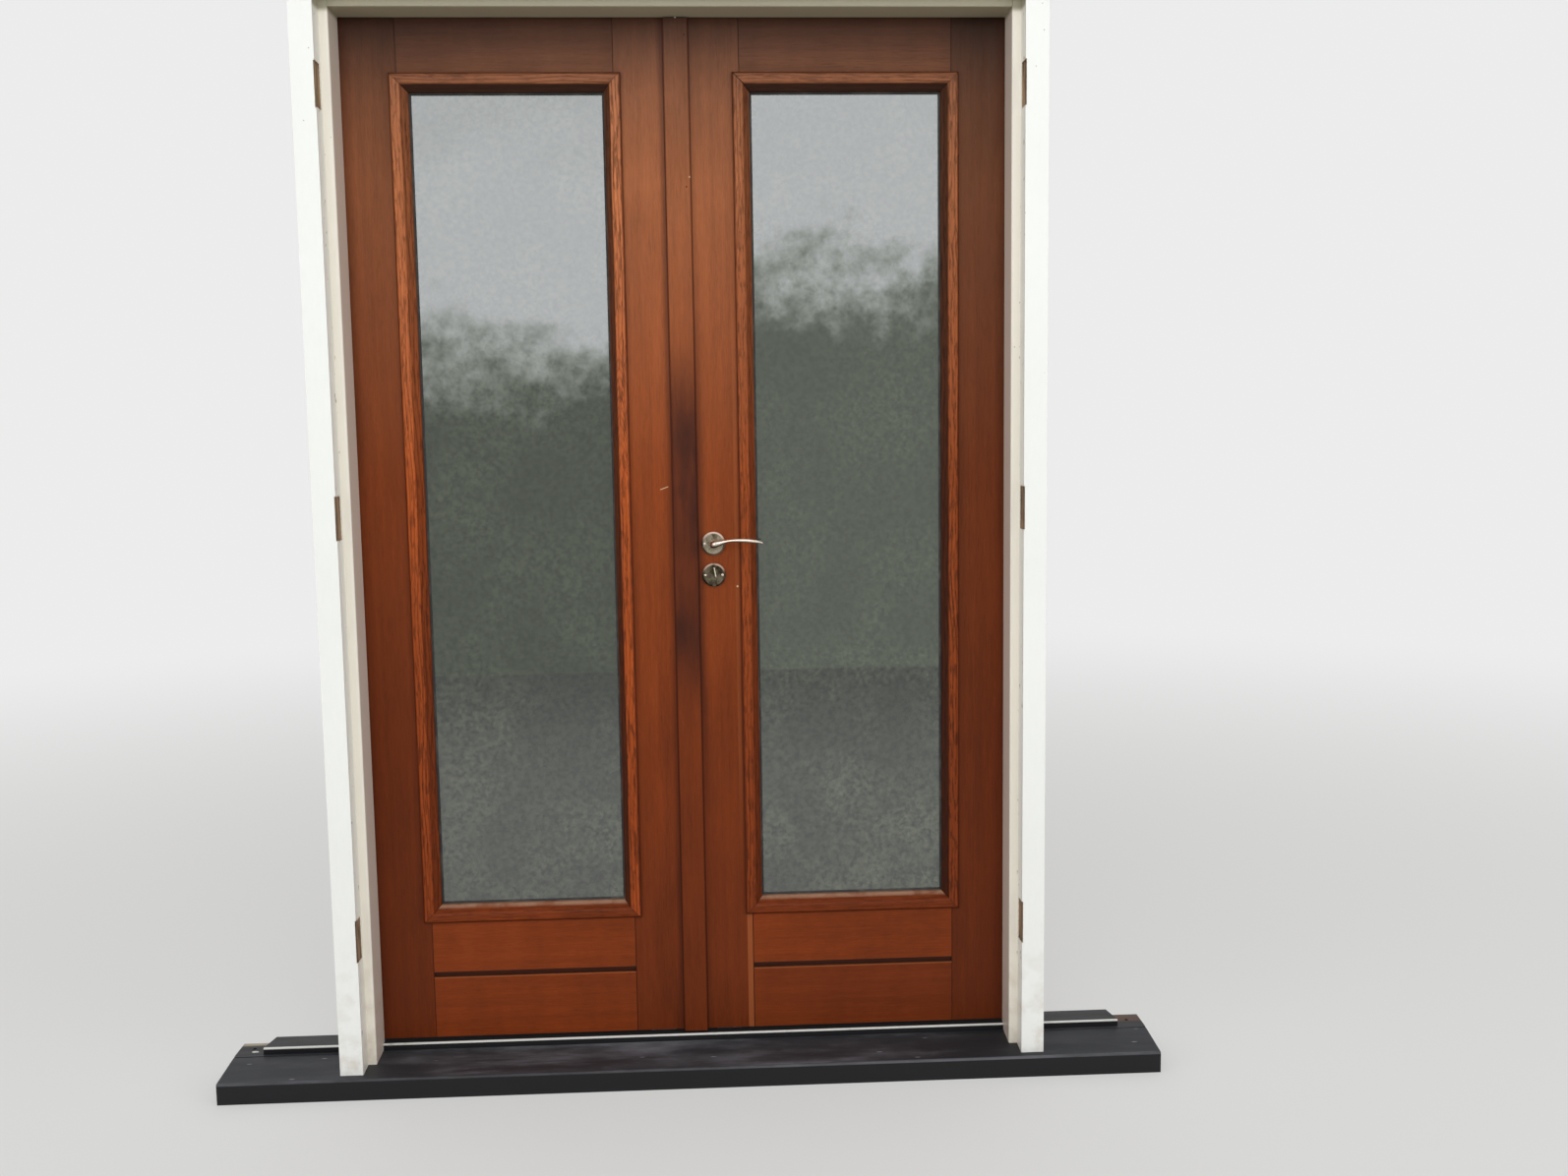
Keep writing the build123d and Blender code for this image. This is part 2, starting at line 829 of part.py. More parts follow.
lock_bores = rod_bores(case_bottom, case_top)
case = case_body(0) - lock_bores - latch_bar(running_gap) - deadbolt_bar(running_gap)
case = case - rod_y(lever_x, lever_z, 0, frame_depth, follower_radius + running_gap)
case = case - profile_hole(running_gap, 0, frame_depth)
parts["lock_case"] = case

faceplate = faceplate_body(0)
faceplate = fillet(faceplate.edges().filter_by(Axis.X), faceplate_round)
parts["lock_faceplate"] = faceplate - latch_bar(running_gap) - deadbolt_bar(running_gap)
parts["latch_bolt"] = latch_bolt()
parts["deadbolt"] = deadbolt_bar(0)

right_stile = plain_meeting_stile - case_body(joint_gap) - faceplate_body(faceplate_gap) - lock_bores
right_stile = right_stile - rod_y(lever_x, lever_z, 0, leaf_back + past, follower_radius + hole_gap)
parts["right_meeting_stile"] = right_stile - profile_hole(hole_gap, 0, leaf_back + past)


def spindle():
    """Square bar through the leaf, into the neck of each lever."""
    half = spindle_size / 2
    reach = leaf_thickness / 2 + rose_thickness + spindle_in_neck
    y_range = (leaf_mid - reach, leaf_mid + reach)
    return block((lever_x - half, lever_x + half), y_range, (lever_z - half, lever_z + half))


def follower():
    """Hub in the lock case that the spindle turns."""
    half = case_thickness / 2
    hub = rod_y(lever_x, lever_z, leaf_mid - half, leaf_mid + half, follower_radius)
    return hub - spindle()


def rose(z):
    """Round cover plate with a bevelled rim, on the front of the leaf."""
    plate = rod_y(lever_x, z, leaf_front - rose_thickness, leaf_front, rose_radius)
    rim = plate.edges().filter_by(GeomType.CIRCLE).sort_by(Axis.Y)[0]
    return chamfer(rim, rose_bevel_depth, rose_bevel_width)


def lever():
    """Curved lever: round neck, turned along the leaf, thinning to a blade with a drooping tip."""
    neck_end = leaf_front - rose_thickness - running_gap
    outer_y = neck_end - lever_stand
    tip_x = lever_x + lever_length
    tip_y = outer_y + blade_return
    tip_z = lever_z + blade_droop
    crest_x = lever_x + blade_crest_share * lever_length
    crest_z = lever_z + blade_rise
    left, right = lever_x - neck_radius, lever_x + neck_radius
    low, high = lever_z - neck_radius, lever_z + neck_radius
    upper_corner = (tip_x - blade_tip_bevel, tip_z + blade_tip_height / 2)
    lower_corner = (tip_x - blade_tip_bevel, tip_z - blade_tip_height / 2)
    upper_edge = Spline(
        (lever_x, high), (crest_x, crest_z + blade_height / 2), upper_corner, tangents=[(1, 0), (1, -0.8)]
    )
    lower_edge = Spline(
        lower_corner, (crest_x, crest_z - blade_height / 2), (lever_x, low), tangents=[(-1, 0.35), (-1, 0)]
    )
    tip = Polyline(upper_corner, (tip_x, tip_z), lower_corner)
    seen_from_front = make_face(upper_edge + tip + lower_edge + Line((lever_x, low), (lever_x, high)))
    seen_from_above = [
        (left, neck_end, 0),
        (left, outer_y, elbow_round),
        (tip_x, tip_y, 0),
        (tip_x, tip_y + blade_tip, 0),
        (right, outer_y + blade_root, elbow_inner_round),
        (right, neck_end, 0),
    ]
    blade = extrude(Pos(0, outer_y, 0) * (Plane.XZ * seen_from_front), neck_end - outer_y, dir=(0, 1, 0))
    neck = rod_y(lever_x, lever_z, outer_y, neck_end, neck_radius)
    thinned = upright(seen_from_above, lever_z - lever_length, lever_z + lever_length)
    return ((blade + neck) & thinned) - spindle()


parts["spindle"] = spindle()
parts["follower"] = follower()
parts["outside_lever"] = lever()
parts["inside_lever"] = flipped(lever())
lever_rose = rose(lever_z) - rod_y(lever_x, lever_z, 0, leaf_mid, rose_hole_radius)
cylinder_rose = rose(cylinder_z) - profile_hole(joint_gap, 0, leaf_mid)
parts["lever_roses"] = Compound(children=[lever_rose, flipped(lever_rose)])
parts["cylinder_roses"] = Compound(children=[cylinder_rose, flipped(cylinder_rose)])

cylinder_reach = leaf_thickness / 2 + rose_thickness + cylinder_proud
cylinder_body = profile_hole(0, leaf_mid - cylinder_reach, leaf_mid + cylinder_reach)
plug_bore = rod_y(lever_x, cylinder_z, 0, 2 * frame_depth, plug_radius + pin_fit)
parts["cylinder_body"] = cylinder_body - plug_bore


def cylinder_plug():
    """Plug through the cylinder: a keyway at the front, a thumb turn at the back."""
    front = leaf_mid - cylinder_reach
    knob_foot = leaf_mid + cylinder_reach + turn_neck
    half_slot = plug_radius - keyway_margin
    plug = rod_y(lever_x, cylinder_z, front, knob_foot, plug_radius)
    plug = plug - block(
        (lever_x - keyway_width / 2, lever_x + keyway_width / 2),
        (front - past, front + keyway_depth),
        (cylinder_z - half_slot, cylinder_z + half_slot),
    )
    knob = extrude(SlotOverall(turn_width, turn_thickness), turn_stand - turn_neck)
    knob = Pos(lever_x, knob_foot, cylinder_z) * Rot(-90, 0, 0) * knob
    return plug + chamfer(knob.faces().sort_by(Axis.Y)[-1].edges(), turn_chamfer)


parts["cylinder_turn"] = cylinder_plug()
parts["right_top_rod"] = leaf_rod("top", case_top)
parts["right_bottom_rod"] = leaf_rod("bottom", case_bottom)


# Fittings of the leaf that opens second, drawn on the left

gear_top = lever_z + gear_height / 2
gear_bottom = lever_z - gear_height / 2


def gear_body(gap, y_high):
    """Small gear case let into the back of the stile, or the pocket for it."""
    return block(
        (-rod_x - gear_width / 2 - gap, -rod_x + gear_width / 2 + gap),
        (leaf_back - gear_depth - gap, y_high),
        (gear_bottom - gap, gear_top + gap),
    )


def strike_holes():
    """Pockets in the left edge for the latch and the deadbolt, wide enough for the leaf to swing out."""
    latch_half_y = latch_thickness / 2
    latch_half_z = latch_height / 2 + strike_room
    latch = block(
        (leaf_edge - latch_throw - strike_room, 0),
        (latch_y - latch_half_y - strike_front_room, latch_y + latch_half_y + strike_side_room),
        (lever_z - latch_half_z, lever_z + latch_half_z),
    )
    bolt_half_y = deadbolt_thickness / 2 + strike_front_room
    bolt_half_z = deadbolt_height / 2 + strike_room
    bolt = block(
        (leaf_edge - deadbolt_throw - 2 * strike_room, 0),
        (leaf_mid - bolt_half_y, leaf_mid + bolt_half_y),
        (cylinder_z - bolt_half_z, cylinder_z + bolt_half_z),
    )
    return latch + bolt


strike_z = (lever_z + cylinder_z) / 2
strike_blank = block(
    (-leaf_edge - strike_thickness, -leaf_edge),
    (leaf_mid - strike_width / 2, leaf_mid + strike_width / 2),
    (strike_z - strike_height / 2, strike_z + strike_height / 2),
)
parts["strike_plate"] = fillet(strike_blank.edges().filter_by(Axis.X), strike_round) - strike_holes()
gear_bores = mirrored(rod_bores(gear_bottom, gear_top))
left_stile = mirrored(plain_meeting_stile) - gear_body(joint_gap, leaf_back + past)
parts["left_meeting_stile"] = left_stile - gear_bores - strike_holes() - strike_blank
shaft_bore = bolt_shaft_radius + running_gap
shaft_end = leaf_back - bolt_shaft_depth
gear = gear_body(0, leaf_back) - gear_bores
parts["bolt_gear"] = gear - rod_y(-rod_x, lever_z, shaft_end - shaft_end_room, leaf_back + past, shaft_bore)
parts["left_top_rod"] = mirrored(leaf_rod("top", gear_top))
parts["left_bottom_rod"] = mirrored(leaf_rod("bottom", gear_bottom))

bolt_plate = block(
    (-rod_x - bolt_plate_width / 2, -rod_x + bolt_plate_width / 2),
    (leaf_back, leaf_back + bolt_plate_thickness),
    (lever_z - bolt_plate_height / 2, lever_z + bolt_plate_height / 2),
)
bolt_plate = fillet(bolt_plate.edges().filter_by(Axis.Y), bolt_plate_round)
plate_face = leaf_back + bolt_plate_thickness
parts["bolt_plate"] = bolt_plate - rod_y(-rod_x, lever_z, leaf_back - past, plate_face + past, shaft_bore)


def bolt_handle():
    """Turning handle with a boss and a rounded grip, upright at rest."""
    start = plate_face + running_gap
    shaft = rod_y(-rod_x, lever_z, shaft_end, start + past, bolt_shaft_radius)
    boss = rod_y(-rod_x, lever_z, start, start + bolt_boss_length, bolt_boss_radius)
    grip = extrude(SlotOverall(bolt_knob_length, bolt_knob_width, rotation=90), bolt_knob_thickness)
    grip = Pos(-rod_x, start + bolt_grip_start, lever_z) * Rot(-90, 0, 0) * grip
    return shaft + boss + chamfer(grip.edges(), bolt_knob_chamfer)


parts["bolt_handle"] = bolt_handle()


# Meeting strip on the left leaf, lapping the right one

def meeting_strip():
    """Strip with rounded front arrises, thinned behind where it laps the other leaf."""
    front = leaf_front - strip_proud
    half = strip_width / 2
    points = [
        (-half, leaf_front, 0),
        (-half, front, strip_round),
        (half, front, strip_round),
        (half, leaf_front - stop_gap, strip_lap_round),
        (-leaf_edge, leaf_front - stop_gap, 0),
        (-leaf_edge, leaf_front, 0),
    ]
    return upright(points, leaf_bottom, soffit - top_gap)


parts["meeting_strip"] = meeting_strip()
seal_x = strip_width / 2 - seal_inset
parts["meeting_seal"] = block(
    (seal_x - seal_width, seal_x),
    (leaf_front - stop_gap, leaf_front - running_gap),
    (leaf_bottom, soffit - top_gap),
)


os.makedirs("parts", exist_ok=True)
for node, shape in parts.items():
    export_step(shape, "parts/" + node + ".step")
print(len(parts), "pieces written")
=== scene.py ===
# Looks of a pair of glazed, stained timber doors in a white painted frame on a black threshold.
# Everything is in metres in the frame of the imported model: X right, Y back, Z up.
import math

import bmesh
import bpy
from mathutils import Matrix, Vector


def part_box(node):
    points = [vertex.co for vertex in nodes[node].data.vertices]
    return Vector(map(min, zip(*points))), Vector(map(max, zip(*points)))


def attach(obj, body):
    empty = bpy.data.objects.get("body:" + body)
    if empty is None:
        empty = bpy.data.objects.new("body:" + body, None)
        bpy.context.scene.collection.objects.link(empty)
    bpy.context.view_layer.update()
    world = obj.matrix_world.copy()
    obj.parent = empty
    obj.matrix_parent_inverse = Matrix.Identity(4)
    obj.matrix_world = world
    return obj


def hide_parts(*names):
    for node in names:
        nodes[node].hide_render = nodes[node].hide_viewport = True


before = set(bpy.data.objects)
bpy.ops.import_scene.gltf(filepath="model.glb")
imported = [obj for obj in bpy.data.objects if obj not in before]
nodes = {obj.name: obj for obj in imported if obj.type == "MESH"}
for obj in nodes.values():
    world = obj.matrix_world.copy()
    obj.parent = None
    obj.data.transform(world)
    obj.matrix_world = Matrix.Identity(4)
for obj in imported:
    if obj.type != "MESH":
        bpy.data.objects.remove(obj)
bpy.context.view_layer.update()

# Camera, solved from the straight edges of the object in the photograph
LENS = 31.2227
SENSOR = 36.0
CAMERA_PLACE = Vector((0.07568, -2.78565, 1.35764))
YAW = math.radians(2.60417)
PITCH = math.radians(5.99910)
ROLL = math.radians(-0.80901)

# Unit, directions and a full turn
MM = 0.001
FRONT = Vector((0, -1, 0))
BACK = Vector((0, 1, 0))
UP = Vector((0, 0, 1))
DOWN = Vector((0, 0, -1))
RIGHT = Vector((1, 0, 0))
LEFT = Vector((-1, 0, 0))
TURN = 2 * math.pi


def centre(name):
    """Middle of a node's box."""
    low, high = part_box(name)
    return (low + high) / 2


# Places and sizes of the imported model

THRESHOLD_LOW, THRESHOLD_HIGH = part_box("threshold")
LEAF_LOW, LEAF_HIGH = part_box("right_hinge_stile")
MOULDING_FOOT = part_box("right_moulding_bottom")[0].z
PANE_LOW, PANE_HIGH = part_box("right_panes")
STRIP_LOW, STRIP_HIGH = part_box("meeting_strip")
ROSE_LOW, ROSE_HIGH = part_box("lever_roses")
CYLINDER_LOW, CYLINDER_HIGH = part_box("cylinder_roses")
HINGES_LOW, HINGES_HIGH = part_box("right_hinge_plates")
LEAF_MID = (LEAF_LOW.y + LEAF_HIGH.y) / 2
LEVER_X = (ROSE_LOW.x + ROSE_HIGH.x) / 2
LEVER_Z = (ROSE_LOW.z + ROSE_HIGH.z) / 2
CYLINDER_Z = (CYLINDER_LOW.z + CYLINDER_HIGH.z) / 2
FRAME_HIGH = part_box("head")[1]
REBATE_SIDE = FRAME_HIGH.x - 49 * MM
REBATE_DEPTH = 41 * MM
STOP_BACK = 114 * MM
HALF_HINGE = 44.5 * MM
MIDDLE_HINGE = 1.222
HINGE_MIDDLES = (HINGES_LOW.z + HALF_HINGE, MIDDLE_HINGE, HINGES_HIGH.z - HALF_HINGE)
STILE_EDGE = 129 * MM
BOARD_JOINT = 216 * MM
HALF_GROOVE = 5 * MM
MOULDING_LAP = 15 * MM


# Node trees

def srgb(red, green, blue):
    """Linear colour for a screen colour in 0 to 255."""
    linear = []
    for value in (red, green, blue):
        share = value / 255
        linear.append(share / 12.92 if share <= 0.04045 else ((share + 0.055) / 1.055) ** 2.4)
    return (*linear, 1.0)


class Tree:
    """Node tree of one material, with a short method for each kind of node."""

    def __init__(self, name):
        self.material = bpy.data.materials.new(name)
        self.material.use_nodes = True
        self.nodes = self.material.node_tree.nodes
        self.links = self.material.node_tree.links
        self.shader = self.nodes["Principled BSDF"]
        self.place = self.nodes.new("ShaderNodeTexCoord").outputs["Object"]
        self.x, self.y, self.z = self.node("ShaderNodeSeparateXYZ", [self.place]).outputs

    def node(self, kind, inputs=(), **settings):
        """New node; inputs are fed in order, and None leaves a socket as it is."""
        made = self.nodes.new(kind)
        for key, value in settings.items():
            setattr(made, key, value)
        for socket, value in zip(made.inputs, inputs):
            self.feed(socket, value)
        return made

    def feed(self, socket, value):
        """Link a socket or set its value."""
        if isinstance(value, bpy.types.NodeSocket):
            self.links.new(value, socket)
        elif value is not None:
            socket.default_value = value

    def set(self, **values):
        """Feed sockets of the shader by name, with _ for a space."""
        for key, value in values.items():
            self.feed(self.shader.inputs[key.replace("_", " ")], value)

    def math(self, operation, first, second=None):
        """One sum."""
        return self.node("ShaderNodeMath", [first, second], operation=operation).outputs[0]

    def product(self, first, *others):
        """Product of several numbers."""
        for other in others:
            first = self.math("MULTIPLY", first, other)
        return first

    def total(self, first, *others):
        """Sum of several numbers."""
        for other in others:
            first = self.math("ADD", first, other)
        return first

    def largest(self, first, *others):
        """Largest of several numbers."""
        for other in others:
            first = self.math("MAXIMUM", first, other)
        return first

    def remap(self, value, low, high, to_low=0.0, to_high=1.0, smooth=True):
        """Value from one range to another, held at its ends."""
        kind = "SMOOTHSTEP" if smooth else "LINEAR"
        made = self.node("ShaderNodeMapRange", [value, low, high, to_low, to_high], interpolation_type=kind)
        return made.outputs[0]

    def swing(self, value):
        """Noise spread to about -1 to 1."""
        return self.math("MULTIPLY", self.math("SUBTRACT", value, 0.5), 4.5)

    def blend(self, share, first, second):
        """Two numbers mixed."""
        made = self.node("ShaderNodeMix", data_type="FLOAT")
        self.feed(made.inputs["Factor"], share)
        self.feed(made.inputs[2], first)
        self.feed(made.inputs[3], second)
        return made.outputs[0]

    def upward(self):
        """How far the surface faces up."""
        geometry = self.nodes.new("ShaderNodeNewGeometry")
        return self.node("ShaderNodeSeparateXYZ", [geometry.outputs["Normal"]]).outputs[2]

    def between(self, value, low, high, soft):
        """1 between two limits, fading to 0 over a soft edge outside them."""
        rising = self.remap(value, low - soft, low)
        falling = self.remap(value, high, high + soft, 1.0, 0.0)
        return self.math("MULTIPLY", rising, falling)

    def moved(self, shift, scale=(1, 1, 1)):
        """Coordinates shifted, then stretched."""
        shifted = self.node("ShaderNodeVectorMath", [self.place, shift], operation="ADD").outputs[0]
        return self.node("ShaderNodeVectorMath", [shifted, scale], operation="MULTIPLY").outputs[0]

    def noise(self, scale, vector=None, detail=3.0, roughness=0.55):
        """Soft noise about 0.5."""
        made = self.node("ShaderNodeTexNoise")
        self.feed(made.inputs["Vector"], vector or self.place)
        made.inputs["Scale"].default_value = scale
        made.inputs["Detail"].default_value = detail
        made.inputs["Roughness"].default_value = roughness
        return made.outputs["Fac"]

    def spots(self, scale, vector=None):
        """Distance to the nearest of a scatter of points."""
        made = self.node("ShaderNodeTexVoronoi")
        self.feed(made.inputs["Vector"], vector or self.place)
        made.inputs["Scale"].default_value = scale
        return made.outputs["Distance"]

    def ramp(self, value, stops):
        """Colours along a value, as (place, colour)."""
        made = self.node("ShaderNodeValToRGB", [value])
        elements = made.color_ramp.elements
        while len(elements) < len(stops):
            elements.new(0.5)
        for element, (place, colour) in zip(elements, stops):
            element.position = place
            element.color = colour
        return made.outputs["Color"]

    def mix(self, share, first, second):
        """Two colours mixed."""
        made = self.node("ShaderNodeMix", data_type="RGBA")
        self.feed(made.inputs["Factor"], share)
        self.feed(made.inputs[6], first)
        self.feed(made.inputs[7], second)
        return made.outputs[2]

    def scaled(self, colour, amount):
        """Colour times a number."""
        start = colour[:3] if isinstance(colour, tuple) else colour
        made = self.node("ShaderNodeVectorMath", [start], operation="SCALE")
        self.feed(made.inputs["Scale"], amount)
        return made.outputs[0]

    def bump(self, height, strength, distance):
        """Bump on the shader's normal."""
        made = self.node("ShaderNodeBump")
        made.inputs["Strength"].default_value = strength
        made.inputs["Distance"].default_value = distance
        self.feed(made.inputs["Height"], height)
        self.set(Normal=made.outputs[0])

    def length(self, vector):
        """Length of a vector."""
        return self.node("ShaderNodeVectorMath", [vector], operation="LENGTH").outputs["Value"]

    def near(self, point, radius, soft):
        """1 within a radius of a point."""
        away = self.node("ShaderNodeVectorMath", [self.place, tuple(point)], operation="DISTANCE")
        return self.remap(away.outputs["Value"], radius, radius + soft, 1.0, 0.0)


# Wood

# Colours of the stain from the leaf's foot to its head, as (share of the height, colour); the lighter band
# high up is partly a painted sheen, and the darkening at the very top is painted shade of the frame's head
STAIN_SHEEN_AND_HEAD_SHADE = (
    (0.00, srgb(110, 46, 15)),
    (0.30, srgb(117, 50, 16)),
    (0.56, srgb(135, 62, 23)),
    (0.84, srgb(151, 88, 53)),
    (0.92, srgb(132, 80, 52)),
    (0.955, srgb(106, 65, 44)),
    (0.98, srgb(80, 48, 33)),
    (1.00, srgb(50, 29, 19)),
)
PORE = srgb(52, 22, 12)
DUSTY_WOOD = srgb(168, 128, 104)
ACROSS = {"z": (1.0, 1.0, 0.035), "x": (0.035, 1.0, 1.0)}
DASHES = {"z": (1.0, 1.0, 0.12), "x": (0.12, 1.0, 1.0)}


def wood(name, depth, seed, run="z", figure=0.0, arch=None, extra=None, dust=0.0, top=1.0, low=1.0):
    """Stained hardwood: coloured by height, lighter high up partly as a painted sheen and darkest at the head
    as painted shade of the frame's head, streaked along the grain, with pores and optional figure.

    depth scales the colour, low and top scale it once more towards the leaf's foot and head, arch gives
    the middle and the spine of a stretch of arched figure, and extra adds the marks of one piece.
    """
    t = Tree(name)
    height = t.remap(t.z, LEAF_LOW.z, LEAF_HIGH.z, smooth=False)
    shift = (seed, 0.37 * seed, 0.61 * seed)
    grain = t.moved(shift, ACROSS[run])
    broad = t.swing(t.noise(2.6, t.moved(shift, (1.0, 1.0, 0.5)), detail=2.0))
    cloud = t.swing(t.noise(13.0, t.moved(shift, (1.0, 1.0, 0.35)), detail=4.0))
    fibre = t.swing(t.noise(420.0, grain, detail=4.0, roughness=0.7))
    streak = t.swing(t.noise(62.0, grain, detail=4.0, roughness=0.65))
    side, along = (t.x, t.z) if run == "z" else (t.z, t.x)
    bend = t.noise(3.2, t.moved(shift, (0.6, 0.6, 0.6)), detail=2.0)
    ring = t.math("SINE", t.product(t.total(side, t.product(bend, 0.05), seed), 840.0))
    if arch is not None:
        middle, spine = arch
        lean = t.math("SUBTRACT", side, spine)
        nested = t.total(t.product(along, 0.42), t.product(lean, lean, 110.0), t.product(bend, 0.02))
        arched = t.math("SINE", t.product(nested, 760.0))
        ring = t.blend(t.between(along, middle - 0.10, middle + 0.10, 0.05), ring, arched)
    ring = t.product(t.remap(ring, -0.1, 0.9), t.remap(streak, -0.9, 0.5))
    dashes = t.noise(230.0, t.moved(shift, DASHES[run]), detail=3.0, roughness=0.6)
    flecks = t.swing(t.noise(330.0, t.moved(shift, DASHES[run]), detail=3.0, roughness=0.7))
    pores = t.remap(t.noise(700.0, grain, detail=2.0), 0.60, 0.70)
    tone = t.total(
        1.0,
        t.product(broad, 0.12),
        t.product(cloud, 0.12),
        t.product(fibre, 0.10),
        t.product(streak, 0.14),
        t.product(flecks, 0.10),
    )
    upper_shade = t.remap(height, 0.36, 0.78, depth, depth * top)
    shade = t.product(tone, upper_shade, t.remap(height, 0.08, 0.42, low, 1.0))
    colour = t.scaled(t.ramp(height, STAIN_SHEEN_AND_HEAD_SHADE), shade)
    colour = t.mix(t.product(ring, 0.72 * figure), colour, t.scaled(colour, 0.34))
    colour = t.mix(t.product(t.remap(dashes, 0.50, 0.60), 0.80 * figure), colour, t.scaled(colour, 0.38))
    colour = t.mix(t.product(pores, 0.22 + 0.3 * figure), colour, PORE)
    if extra is not None:
        colour = extra(t, colour)
    if dust:
        facing_up = t.remap(t.upward(), 0.25, 0.60)
        colour = t.mix(t.product(facing_up, t.remap(cloud, -0.8, 0.6, 0.4, 1.0), dust), colour, DUSTY_WOOD)
    t.set(Base_Color=colour, Roughness=t.remap(fibre, -0.6, 0.6, 0.36, 0.54), Specular_IOR_Level=0.14)
    relief = t.total(t.product(fibre, 0.3), t.product(pores, -0.7), t.product(ring, -0.5 * figure))
    t.bump(relief, 0.25, 0.4 * MM)
    return t.material


def assign(material, *names):
    """Give a material to nodes."""
    for name in names:
        slots = nodes[name].data.materials
        slots.clear()
        slots.append(material)


# Colours and places of the marks on the wood
CHIP = srgb(226, 196, 160)
NAIL_JOINT_AND_SHADE = srgb(38, 20, 14)
PAINTED_SHADE_BROWN = srgb(66, 27, 14)
STRIP_DARK = srgb(62, 27, 17)
LIGHT_EDGE = srgb(184, 104, 60)
STRIP_HAND = (LEVER_Z - 171 * MM, LEVER_Z + 209 * MM)
STRIP_NAILS = ((0.018, STRIP_LOW.y, 2.196), (0.017, STRIP_LOW.y, 1.892))
STRIP_CHIP = (0.0245, STRIP_LOW.y, 1.912)
STILE_HAND = (LEVER_Z - 251 * MM, LEVER_Z + 199 * MM)
STILE_LIGHT_BAND = (0.75, 1.55)
STILE_CHIP = (0.108, LEAF_LOW.y, 1.058)
SCRATCH_HEIGHT = 1.2856
SCRATCH_SLOPE = 0.35
ARCH_MIDDLE = 1.42


def strip_marks(t, colour):
    """Dark handled stretch of the meeting strip, two nail holes and a chip."""
    hand = t.between(t.z, *STRIP_HAND, 0.26)
    streaks = t.remap(t.noise(46.0, t.moved((0, 0, 3.1), (1, 1, 0.10)), detail=4.0), 0.34, 0.62)
    patch = t.remap(t.noise(7.0, t.moved((2, 0, 1.7), (1, 1, 0.6)), detail=4.0), 0.30, 0.60)
    dark = t.product(hand, t.total(0.52, t.product(streaks, 0.22), t.product(patch, 0.24)))
    colour = t.mix(dark, colour, STRIP_DARK)
    for point in STRIP_NAILS:
        colour = t.mix(t.near(point, 1.2 * MM, 0.8 * MM), colour, NAIL_JOINT_AND_SHADE)
    return t.mix(t.near(STRIP_CHIP, 1.6 * MM, 1.0 * MM), colour, CHIP)


def lock_marks(t, colour):
    """Dark handled edge beside the strip, light edges beside moulding and boards, and a bright speck."""
    hand = t.between(t.z, *STILE_HAND, 0.40)
    beside_strip = t.remap(t.x, STRIP_HIGH.x - 1 * MM, STRIP_HIGH.x + 23 * MM, 1.0, 0.0)
    colour = t.mix(t.product(hand, beside_strip, 0.55), colour, STRIP_DARK)
    # Painted shadow along the meeting strip's right edge.
    colour = t.mix(t.remap(t.x, STRIP_HIGH.x + 1.5 * MM, STRIP_HIGH.x + 4 * MM, 0.75, 0.0), colour, PAINTED_SHADE_BROWN)
    below = t.remap(t.z, MOULDING_FOOT, MOULDING_FOOT - 2 * MM)
    board_edge = t.product(t.between(t.x, STILE_EDGE - 12 * MM, STILE_EDGE - 1.5 * MM, 1.0 * MM), below)
    colour = t.mix(t.product(board_edge, 0.42), colour, LIGHT_EDGE)
    outer = STILE_EDGE - MOULDING_LAP
    moulding_edge = t.product(
        t.between(t.x, outer - 9 * MM, outer - 4 * MM, 2.5 * MM),
        t.between(t.z, *STILE_LIGHT_BAND, 0.35),
    )
    colour = t.mix(t.product(moulding_edge, 0.22), colour, LIGHT_EDGE)
    return t.mix(t.near(STILE_CHIP, 1.6 * MM, 1.0 * MM), colour, CHIP)


def strip_side_marks(t, colour):
    """Painted shadow where the meeting strip stands on the left leaf, and a pale scratch."""
    soft = t.remap(t.x, STRIP_LOW.x - 16 * MM, STRIP_LOW.x - 3 * MM, 0.0, 0.40)
    line = t.remap(t.x, STRIP_LOW.x - 5 * MM, STRIP_LOW.x - 2.5 * MM, 0.0, 0.80)
    colour = t.mix(t.largest(soft, line), colour, PAINTED_SHADE_BROWN)
    path = t.total(t.z, t.product(t.x, -SCRATCH_SLOPE), -SCRATCH_HEIGHT)
    scratch = t.product(
        t.between(path, -0.6 * MM, 0.6 * MM, 0.5 * MM),
        t.between(t.x, STRIP_LOW.x - 27 * MM, STRIP_LOW.x - 11 * MM, 1 * MM),
        t.remap(t.y, LEAF_LOW.y + 1 * MM, LEAF_LOW.y + 2 * MM, 1.0, 0.0),
    )
    return t.mix(t.product(scratch, 0.8), colour, CHIP)


def outer_marks(t, colour):
    """Stile in the shade of the frame along its hinge side."""
    side = t.math("ABSOLUTE", t.x)
    return t.mix(t.remap(side, LEAF_HIGH.x - 45 * MM, LEAF_HIGH.x - 3 * MM, 0.0, 0.42), colour, PAINTED_SHADE_BROWN)


